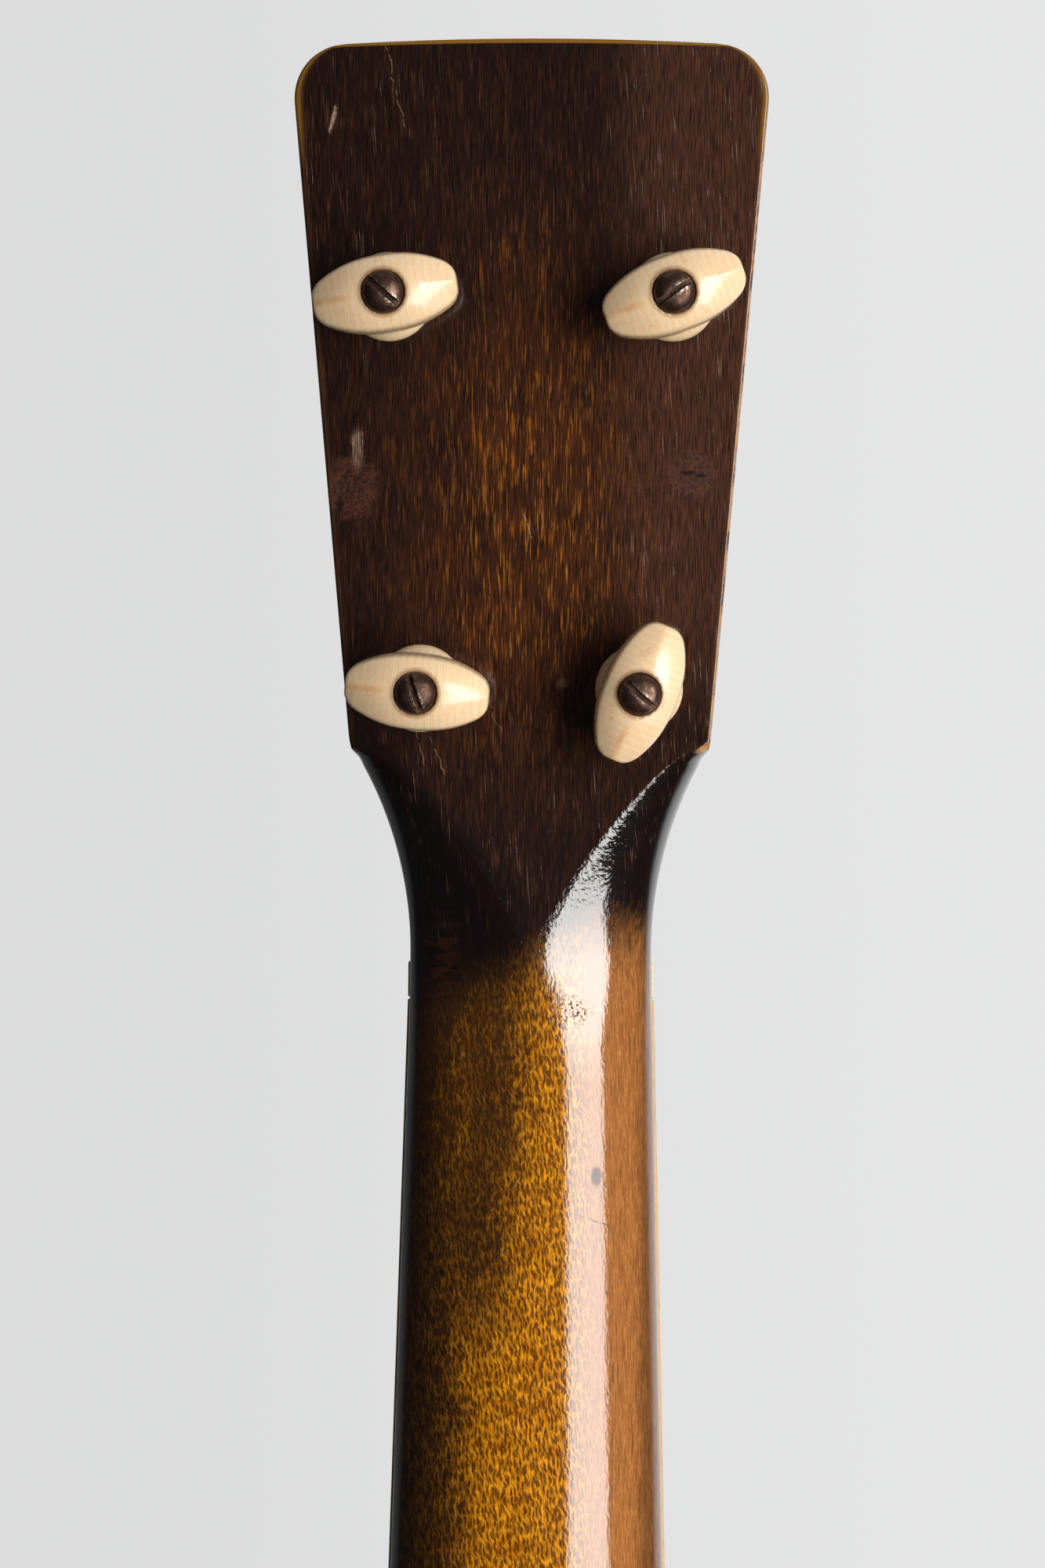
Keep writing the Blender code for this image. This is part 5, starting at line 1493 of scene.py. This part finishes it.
# %% Body outline
BODY_TOP_Z = -173.0 * MM
BODY_DEPTH = 56.0 * MM
BODY_OUTLINE = (
    (24.0, 0.0),
    (47.0, 7.0),
    (64.0, 34.0),
    (64.5, 62.0),
    (55.0, 99.0),
    (62.0, 128.0),
    (79.5, 157.0),
    (84.5, 187.0),
    (74.0, 220.0),
    (44.0, 236.5),
    (20.0, 239.6),
    (0.0, 240.0),
)
OUTLINE_STEPS = 12
OUTLINE_SMOOTHING = 15
BODY_FRONT_Y = GLUE_Y
BODY_BACK_Y = GLUE_Y - BODY_DEPTH
PLATE_THICKNESS = 2.0 * MM
RIB_THICKNESS = 1.8 * MM
BINDING_WIDTH = 1.6 * MM
BINDING_HEIGHT = 3.4 * MM
SEAM = 0.03 * MM
SOUND_HOLE_Z = BODY_TOP_Z - 88.0 * MM
SOUND_HOLE_RADIUS = 23.0 * MM
INLAY_INNER = 26.0 * MM
INLAY_OUTER = 30.0 * MM
INLAY_DEPTH = 0.65 * MM
GROOVE_DEPTH = 0.8 * MM


def smooth_curve(points, steps):
    """A smooth curve through the points (Catmull-Rom)."""
    ends = [points[0] * 2.0 - points[1], *points, points[-1] * 2.0 - points[-2]]
    curve = []
    for a, b, c, d in zip(ends, ends[1:], ends[2:], ends[3:]):
        square, cube = 2.0 * a - 5.0 * b + 4.0 * c - d, 3.0 * b - a - 3.0 * c + d
        for i in range(steps):
            t = i / steps
            curve.append(0.5 * (2.0 * b + (c - a) * t + square * t**2 + cube * t**3))
    return [*curve, points[-1]]


def half_outline(inset):
    """(x, z) points of the body's right side from the neck joint to the tail, moved inwards by inset."""
    named = [Vector((x, -q)) * MM for x, q in BODY_OUTLINE]
    curve = [Vector((0.0, 0.0)), *smooth_curve(named, OUTLINE_STEPS)]
    for _ in range(OUTLINE_SMOOTHING):
        inner = [(a + b * 2.0 + c) / 4.0 for a, b, c in zip(curve, curve[1:], curve[2:])]
        curve = [curve[0], *inner, curve[-1]]
    moved = []
    for i, point in enumerate(curve):
        before = curve[i - 1] if i else Vector((-point.x - 1.0 * MM, point.y))
        after = curve[i + 1] if i + 1 < len(curve) else Vector((-curve[i - 1].x, curve[i - 1].y))
        along = (after - before).normalized()
        moved.append(Vector((max(0.0, point.x + along.y * inset), BODY_TOP_Z + point.y - along.x * inset)))
    moved[0].x = 0.0
    moved[-1].x = 0.0
    return moved


def full_outline(inset, y):
    """The body's whole outline at the depth y."""
    right = half_outline(inset)
    return [Vector((p.x, y, p.y)) for p in right] + [Vector((-p.x, y, p.y)) for p in reversed(right[1:-1])]


print("The lower bout is", round(2000 * max(p.x for p in half_outline(0.0))), "mm wide")


# %% [markdown]
# The wood of the body follows the same recipe as the neck, but simpler: grain that runs up the plates, light
# flame across the maple, and a dark burst near the outline. The plates carry a note of how far each point is from
# the edge, made by cutting them into rings, so the burst can follow the outline on every side.

# %% Body woods
def body_wood(name, light, mid, dark, flame, grain_scale, edge_attribute=True):
    """Varnished wood with grain and flame. The burst needs the mesh's note of how far inland it lies."""
    finish, tree, shader = new_finish(
        name, roughness=0.40, coat_weight=0.9, coat_roughness=0.05, specular_ior_level=0.3
    )
    place = millimetres(tree)
    x, y, z = add(tree, "ShaderNodeSeparateXYZ", {0: place}).outputs
    cloud = noise(stretched(place, (0.05, 0.05, 0.03)), 1.0, detail=3.0)
    grain = noise(stretched(place, grain_scale), 1.0, detail=4.0, roughness=0.6, distortion=0.2)
    pores = noise(stretched(place, (5.0, 5.0, 0.5)), 1.0, detail=2.0)
    wood = blend(span(grain, 0.35, 0.65), light, mid)
    if flame:
        ripple = noise(stretched(place, (0.03, 0.03, 0.28)), 1.0, detail=3.0, distortion=0.8)
        wood = blend(times(span(ripple, 0.42, 0.62), flame), wood, mid)
    wood = blend(times(span(pores, 0.60, 0.70), 0.45), wood, dark)
    if edge_attribute:
        inland = noted(tree, "inland")
        ragged = plus(inland, times(minus(cloud, 0.5), 0.35))
        wood = blend(span(ragged, 0.60, 0.05), wood, dark)
    relief = plus(grain, times(pores, -0.6))
    rough = span(cloud, 0.2, 0.8, 0.03, 0.09)
    wire(tree, shader, base_color=wood, coat_roughness=rough, normal=bump(relief, 0.00002))
    return finish


spruce_top = body_wood(
    "spruce_top",
    (0.42, 0.180, 0.040, 1.0),
    (0.300, 0.110, 0.020, 1.0),
    (0.022, 0.0072, 0.0036, 1.0),
    0.0,
    (1.1, 1.1, 0.012),
)
maple_back = body_wood(
    "maple_back",
    (0.36, 0.130, 0.016, 1.0),
    (0.200, 0.062, 0.009, 1.0),
    (0.020, 0.0066, 0.0034, 1.0),
    0.7,
    (0.6, 0.6, 0.03),
)
maple_ribs = body_wood(
    "maple_ribs",
    (0.150, 0.048, 0.010, 1.0),
    (0.085, 0.026, 0.007, 1.0),
    (0.018, 0.0062, 0.0034, 1.0),
    0.8,
    (0.5, 0.9, 0.05),
    edge_attribute=False,
)
print("Body woods:", spruce_top.name, maple_back.name, maple_ribs.name)

# %% Binding and rosette finishes
binding, tree, shader = new_finish(
    "binding",
    roughness=0.28,
    coat_weight=0.4,
    coat_roughness=0.1,
    subsurface_weight=0.15,
    subsurface_scale=0.001,
)
place = millimetres(tree)
aged = noise(place, 0.12, detail=4.0, roughness=0.6)
dirt = span(noise(place, 0.9, detail=4.0, roughness=0.65), 0.58, 0.72)
base = blend(aged, (0.66, 0.47, 0.24, 1.0), (0.80, 0.64, 0.40, 1.0))
base = blend(times(dirt, 0.45), base, (0.30, 0.160, 0.060, 1.0))
wire(tree, shader, base_color=base, roughness=span(aged, 0.3, 0.7, 0.22, 0.36), normal=bump(dirt, 0.00002))

rosette_inlay, tree, shader = new_finish("rosette_inlay", roughness=0.32, coat_weight=0.8, coat_roughness=0.05)
place = millimetres(tree)
from_hole = vector_calc("SUBTRACT", place, (0.0, 0.0, SOUND_HOLE_Z / MM))
ring_x, _, ring_z = add(tree, "ShaderNodeSeparateXYZ", {0: from_hole}).outputs
radius = calc("SQRT", plus(calc("POWER", ring_x, 2.0), calc("POWER", ring_z, 2.0)))
angle = calc("ARCTAN2", ring_z, ring_x)
tiles = span(calc("SINE", times(angle, 60.0)), -0.12, 0.12)
middle_ring = times(span(radius, 26.9, 27.0), span(radius, 29.1, 29.0))
edge_rings = calc("ADD", span(radius, 26.45, 26.4), span(radius, 29.55, 29.6), clamp=True)
tile_colour = blend(tiles, (0.030, 0.012, 0.008, 1.0), (0.66, 0.50, 0.27, 1.0))
base = blend(middle_ring, (0.035, 0.015, 0.010, 1.0), tile_colour)
base = blend(edge_rings, base, (0.70, 0.55, 0.32, 1.0))
fibre = noise(place, 2.5, detail=3.0)
wire(
    tree,
    shader,
    base_color=blend(times(fibre, 0.25), base, (0.16, 0.080, 0.035, 1.0)),
    normal=bump(fibre, 0.00002),
)
print("The rosette's inlay has", len(tree.nodes), "nodes")

# %% Plates
SPINE_HIGH = BODY_TOP_Z - 55.0 * MM
SPINE_LOW = BODY_TOP_Z - 180.0 * MM


def plate(outline_inset, y_outer, y_inner):
    """A plate cut into rings that shrink towards its middle line, noting how far inland each one lies."""
    bm = bmesh.new()
    inland = bm.verts.layers.float.new("inland")
    edges = add_loop(bm, full_outline(outline_inset, y_outer))
    reached = 0.0
    for share in (0.05, 0.11, 0.18, 0.26, 0.36, 0.48):
        made = bmesh.ops.extrude_edge_only(bm, edges=edges)["geom"]
        verts = {item for item in made if isinstance(item, bmesh.types.BMVert)}
        edges = [item for item in made if isinstance(item, bmesh.types.BMEdge) and set(item.verts) <= verts]
        for vert in verts:
            core = Vector((0.0, vert.co.y, min(max(vert.co.z, SPINE_LOW), SPINE_HIGH)))
            vert.co = vert.co.lerp(core, (share - reached) / (1.0 - reached))
            vert[inland] = min(1.0, share * 2.6)
        reached = share
    bmesh.ops.contextual_create(bm, geom=edges)
    return thicken(bm, Vector((0.0, y_inner - y_outer, 0.0)))


def ring_outline(radius, y):
    """A circle round the centre of the sound hole at the depth y."""
    return [Vector((px, y, SOUND_HOLE_Z + pz)) for px, pz in circle(radius, 96)]


plate_inset = BINDING_WIDTH + SEAM
top_blank = helper_object("top_blank", plate(plate_inset, BODY_FRONT_Y, BODY_FRONT_Y - PLATE_THICKNESS))
hole = helper_object(
    "hole", prism(ring_outline(SOUND_HOLE_RADIUS, BODY_FRONT_Y - 6.0 * MM), Vector((0.0, 10.0 * MM, 0.0)))
)
groove = helper_object(
    "groove",
    band(
        ring_outline(INLAY_OUTER + SEAM, BODY_FRONT_Y - GROOVE_DEPTH),
        ring_outline(INLAY_INNER - SEAM, BODY_FRONT_Y - GROOVE_DEPTH),
        Vector((0.0, 2.0 * MM, 0.0)),
    ),
)
combine(top_blank, hole)
combine(top_blank, groove)
top_mesh = baked_mesh(top_blank, hole, groove)

# The cut leaves wrong notes round the hole, far from the burst, so we write them again.
hole_centre = Vector((0.0, BODY_FRONT_Y, SOUND_HOLE_Z))
for vert, note in zip(top_mesh.vertices, top_mesh.attributes["inland"].data):
    if (vert.co - hole_centre).length < SOUND_HOLE_RADIUS + 10.0 * MM:
        note.value = 1.0
settle_mesh("top_plate", top_mesh, spruce_top, "instrument", "top_wood", "top")
settle(
    "back_plate",
    plate(plate_inset, BODY_BACK_Y, BODY_BACK_Y + PLATE_THICKNESS),
    maple_back,
    "instrument",
    "back_wood",
    "back",
)
inlay_rings = [ring_outline(radius, BODY_FRONT_Y - INLAY_DEPTH) for radius in (INLAY_OUTER, INLAY_INNER)]
inlay = band(*inlay_rings, Vector((0.0, INLAY_DEPTH, 0.0)))
settle("rosette_ring", inlay, rosette_inlay, "instrument", "rosette_inlay", "rosette")
print("The plates and the rosette are in place")

# %% Bindings and ribs
for name, low, stands_for in (
    ("top_binding", BODY_FRONT_Y - BINDING_HEIGHT, "front_binding"),
    ("lower_binding", BODY_BACK_Y, "back_binding"),
):
    strip = band(full_outline(0.0, low), full_outline(BINDING_WIDTH, low), Vector((0.0, BINDING_HEIGHT, 0.0)))
    settle(
        name,
        rounded_edges(strip, 0.35 * MM, limit=60.0, segments=3),
        binding,
        "instrument",
        "binding",
        stands_for,
    )

rib_low, rib_high = BODY_BACK_Y + BINDING_HEIGHT + SEAM, BODY_FRONT_Y - BINDING_HEIGHT - SEAM
for name, side, stands_for in (("left_side", -1.0, "left_rib"), ("right_side", 1.0, "right_rib")):
    outline = half_outline(0.05 * MM) + half_outline(RIB_THICKNESS)[::-1]
    points = [Vector((side * max(0.02 * MM, p.x), rib_low, p.y)) for p in outline]
    settle(
        name,
        prism(points, Vector((0.0, rib_high - rib_low, 0.0))),
        maple_ribs,
        "instrument",
        "rib_wood",
        stands_for,
    )
print("Two bindings and two ribs follow the outline")

# %% [markdown]
# ## Plain parts that stay
#
# The fingerboard, nut, bridge, saddle, frets and the parts inside the box already have their right shape. They
# keep the model's own meshes and only get finishes, and small bevels that catch the light on their edges.

# %% Woods, bone and pearl
def plain_wood(name, light, dark, scale, gloss):
    """A hardwood with grain and pores, in two colours."""
    finish, tree, shader = new_finish(name, coat_weight=gloss, coat_roughness=0.12)
    place = millimetres(tree)
    grain = noise(stretched(place, scale), 1.0, detail=4.0, roughness=0.65, distortion=0.3)
    pores = span(noise(stretched(place, (6.0, 6.0, 0.45)), 1.0, detail=2.0), 0.58, 0.68)
    wood = blend(span(grain, 0.32, 0.68), dark, light)
    wood = blend(times(pores, 0.6), wood, dark)
    wire(tree, shader, base_color=wood, roughness=span(grain, 0.3, 0.7, 0.36, 0.52))
    wire(tree, shader, normal=bump(minus(grain, times(pores, 0.8)), 0.00004))
    return finish


def pale_solid(name, light, warm, roughness, grain_scale):
    """Bone: pale, slightly see-through, with a faint grain."""
    finish, tree, shader = new_finish(
        name, subsurface_weight=0.2, subsurface_scale=0.001, coat_weight=0.3, coat_roughness=0.15
    )
    place = millimetres(tree)
    grain = noise(stretched(place, grain_scale), 1.0, detail=4.0, roughness=0.6)
    wire(tree, shader, base_color=blend(span(grain, 0.35, 0.65), light, warm))
    wire(
        tree,
        shader,
        roughness=span(grain, 0.3, 0.7, roughness - 0.05, roughness + 0.08),
        normal=bump(grain, 0.00002),
    )
    return finish


board_wood = plain_wood(
    "board_wood", (0.050, 0.022, 0.014, 1.0), (0.012, 0.0055, 0.0040, 1.0), (1.6, 1.6, 0.06), 0.25
)
tree = board_wood.node_tree
shader = tree.nodes["Principled BSDF"]
x, y, z = add(tree, "ShaderNodeSeparateXYZ", {0: millimetres(tree)}).outputs
from_middle = plus(calc("ABSOLUTE", x), times(z, NECK_FLARE))
pale_edge = span(from_middle, 16.90, 17.00)
dark_wood = shader.inputs["Base Color"].links[0].from_socket
wire(tree, shader, base_color=blend(pale_edge, dark_wood, (0.72, 0.50, 0.27, 1.0)))
bridge_wood = plain_wood(
    "bridge_wood", (0.072, 0.028, 0.014, 1.0), (0.018, 0.0075, 0.0048, 1.0), (0.10, 1.2, 1.4), 0.4
)
inner_wood = plain_wood("inner_wood", (0.62, 0.42, 0.21, 1.0), (0.46, 0.28, 0.120, 1.0), (0.9, 0.9, 0.04), 0.0)
nut_bone = pale_solid("nut_bone", (0.74, 0.66, 0.50, 1.0), (0.66, 0.53, 0.33, 1.0), 0.34, (1.0, 2.2, 2.2))
saddle_bone = pale_solid("saddle_bone", (0.76, 0.68, 0.53, 1.0), (0.62, 0.49, 0.30, 1.0), 0.36, (0.9, 2.4, 2.4))

pearl, tree, shader = new_finish("pearl", roughness=0.18, coat_weight=0.6, coat_roughness=0.05)
place = millimetres(tree)
folds = noise(place, 0.55, detail=3.0, roughness=0.5, distortion=2.2)
pearl_colours = [
    (0.30, (0.50, 0.62, 0.60)),
    (0.45, (0.80, 0.74, 0.72)),
    (0.58, (0.62, 0.74, 0.66)),
    (0.72, (0.84, 0.82, 0.74)),
]
wire(tree, shader, base_color=ramp(folds, pearl_colours), normal=bump(folds, 0.00008))
print("The pearl has", len(tree.nodes), "nodes")

# %% Finishes and fine edges on the model's own parts
def dress(node, finish, edge=0.0, limit=35.0):
    """Gives a part of the model its finish, and bevels its edges where edge is more than nothing."""
    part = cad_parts[node]
    part.data.materials.clear()
    part.data.materials.append(finish)
    if edge:
        weld = part.modifiers.new("weld", "WELD")
        weld.merge_threshold = 1e-6
        bevel = part.modifiers.new("edge", "BEVEL")
        bevel.width = edge
        bevel.segments = 2
        bevel.limit_method = "ANGLE"
        bevel.angle_limit = math.radians(limit)
        bevel.harden_normals = True


dress("fingerboard", board_wood, 0.15 * MM)
dress("nut", nut_bone, 0.25 * MM)
dress("bridge", bridge_wood, 0.35 * MM)
dress("saddle", saddle_bone, 0.25 * MM)
for number in range(1, 13):
    dress(f"fret_{number:02d}", fret_metal, 0.12 * MM, limit=60.0)
for number in (5, 7, 10):
    dress(f"position_dot_{number}", pearl, 0.08 * MM)
for name in (
    "left_front_lining",
    "right_front_lining",
    "left_back_lining",
    "right_back_lining",
    "neck_block",
    "tail_block",
    "heel_dowel",
    "top_brace_1",
    "top_brace_2",
    "back_brace_1",
    "back_brace_2",
    "bridge_plate",
):
    dress(name, inner_wood)
print("The model's own parts are dressed")

# %% [markdown]
# ## Floor
#
# A round pale floor gives views from the side something to stand on. It stays small enough to lie below the
# camera's view, and mirror rays pass it by, so the dark varnish of the head stays dark.

# %% Floor
FLOOR_RADIUS = 1.3
floor_bm = bmesh.new()
bmesh.ops.create_circle(floor_bm, cap_ends=True, segments=96, radius=FLOOR_RADIUS)
bmesh.ops.translate(floor_bm, vec=(0.0, 0.0, cad_low[2] - 0.2 * MM), verts=floor_bm.verts)
floor_mesh = bpy.data.meshes.new("floor")
floor_bm.to_mesh(floor_mesh)
floor_bm.free()
floor_finish, tree, shader = new_finish("floor_paint", roughness=0.75)
place = add(tree, "ShaderNodeTexCoord").outputs["Object"]
mottle = noise(place, 9.0, detail=5.0)
wire(
    tree,
    shader,
    base_color=blend(mottle, (0.66, 0.66, 0.67, 1.0), (0.72, 0.72, 0.725, 1.0)),
    normal=bump(mottle, 0.0004),
)
floor_mesh.materials.append(floor_finish)
floor = bpy.data.objects.new("floor", floor_mesh)
scene.collection.objects.link(floor)
floor.visible_glossy = False
floor.visible_diffuse = False


def lamp(name, spot, aim, size, watts):
    """A square soft light that the camera doesn't see."""
    light = bpy.data.objects.new(name, bpy.data.lights.new(name, "AREA"))
    scene.collection.objects.link(light)
    light.data.size = size
    light.data.energy = watts
    light.location = spot
    light.rotation_mode = "QUATERNION"
    light.rotation_quaternion = (Vector(spot) - Vector(aim)).to_track_quat("Z", "Y")
    light.visible_camera = False
    return light


def lights_only(light, name, state):
    """Makes a light shine only on the floor, or on everything but the floor."""
    receivers = bpy.data.collections.new(name)
    receivers.objects.link(floor)
    receivers.collection_objects[0].light_linking.link_state = state
    light.light_linking.receiver_collection = receivers


overhead = lamp("overhead", (0.0, 0.0, 1.1), (0.0, 0.0, -0.4), 1.2, 19.0)
front_light = lamp("front_light", (0.25, 0.95, 0.15), (0.0, 0.0, -0.15), 0.45, 5.0)
front_light.visible_glossy = False
lights_only(overhead, "overhead_receivers", "INCLUDE")
lights_only(softbox, "softbox_receivers", "EXCLUDE")
lights_only(front_light, "front_receivers", "EXCLUDE")
print("The floor lies at", round(cad_low[2] - 0.2 * MM, 4), "m")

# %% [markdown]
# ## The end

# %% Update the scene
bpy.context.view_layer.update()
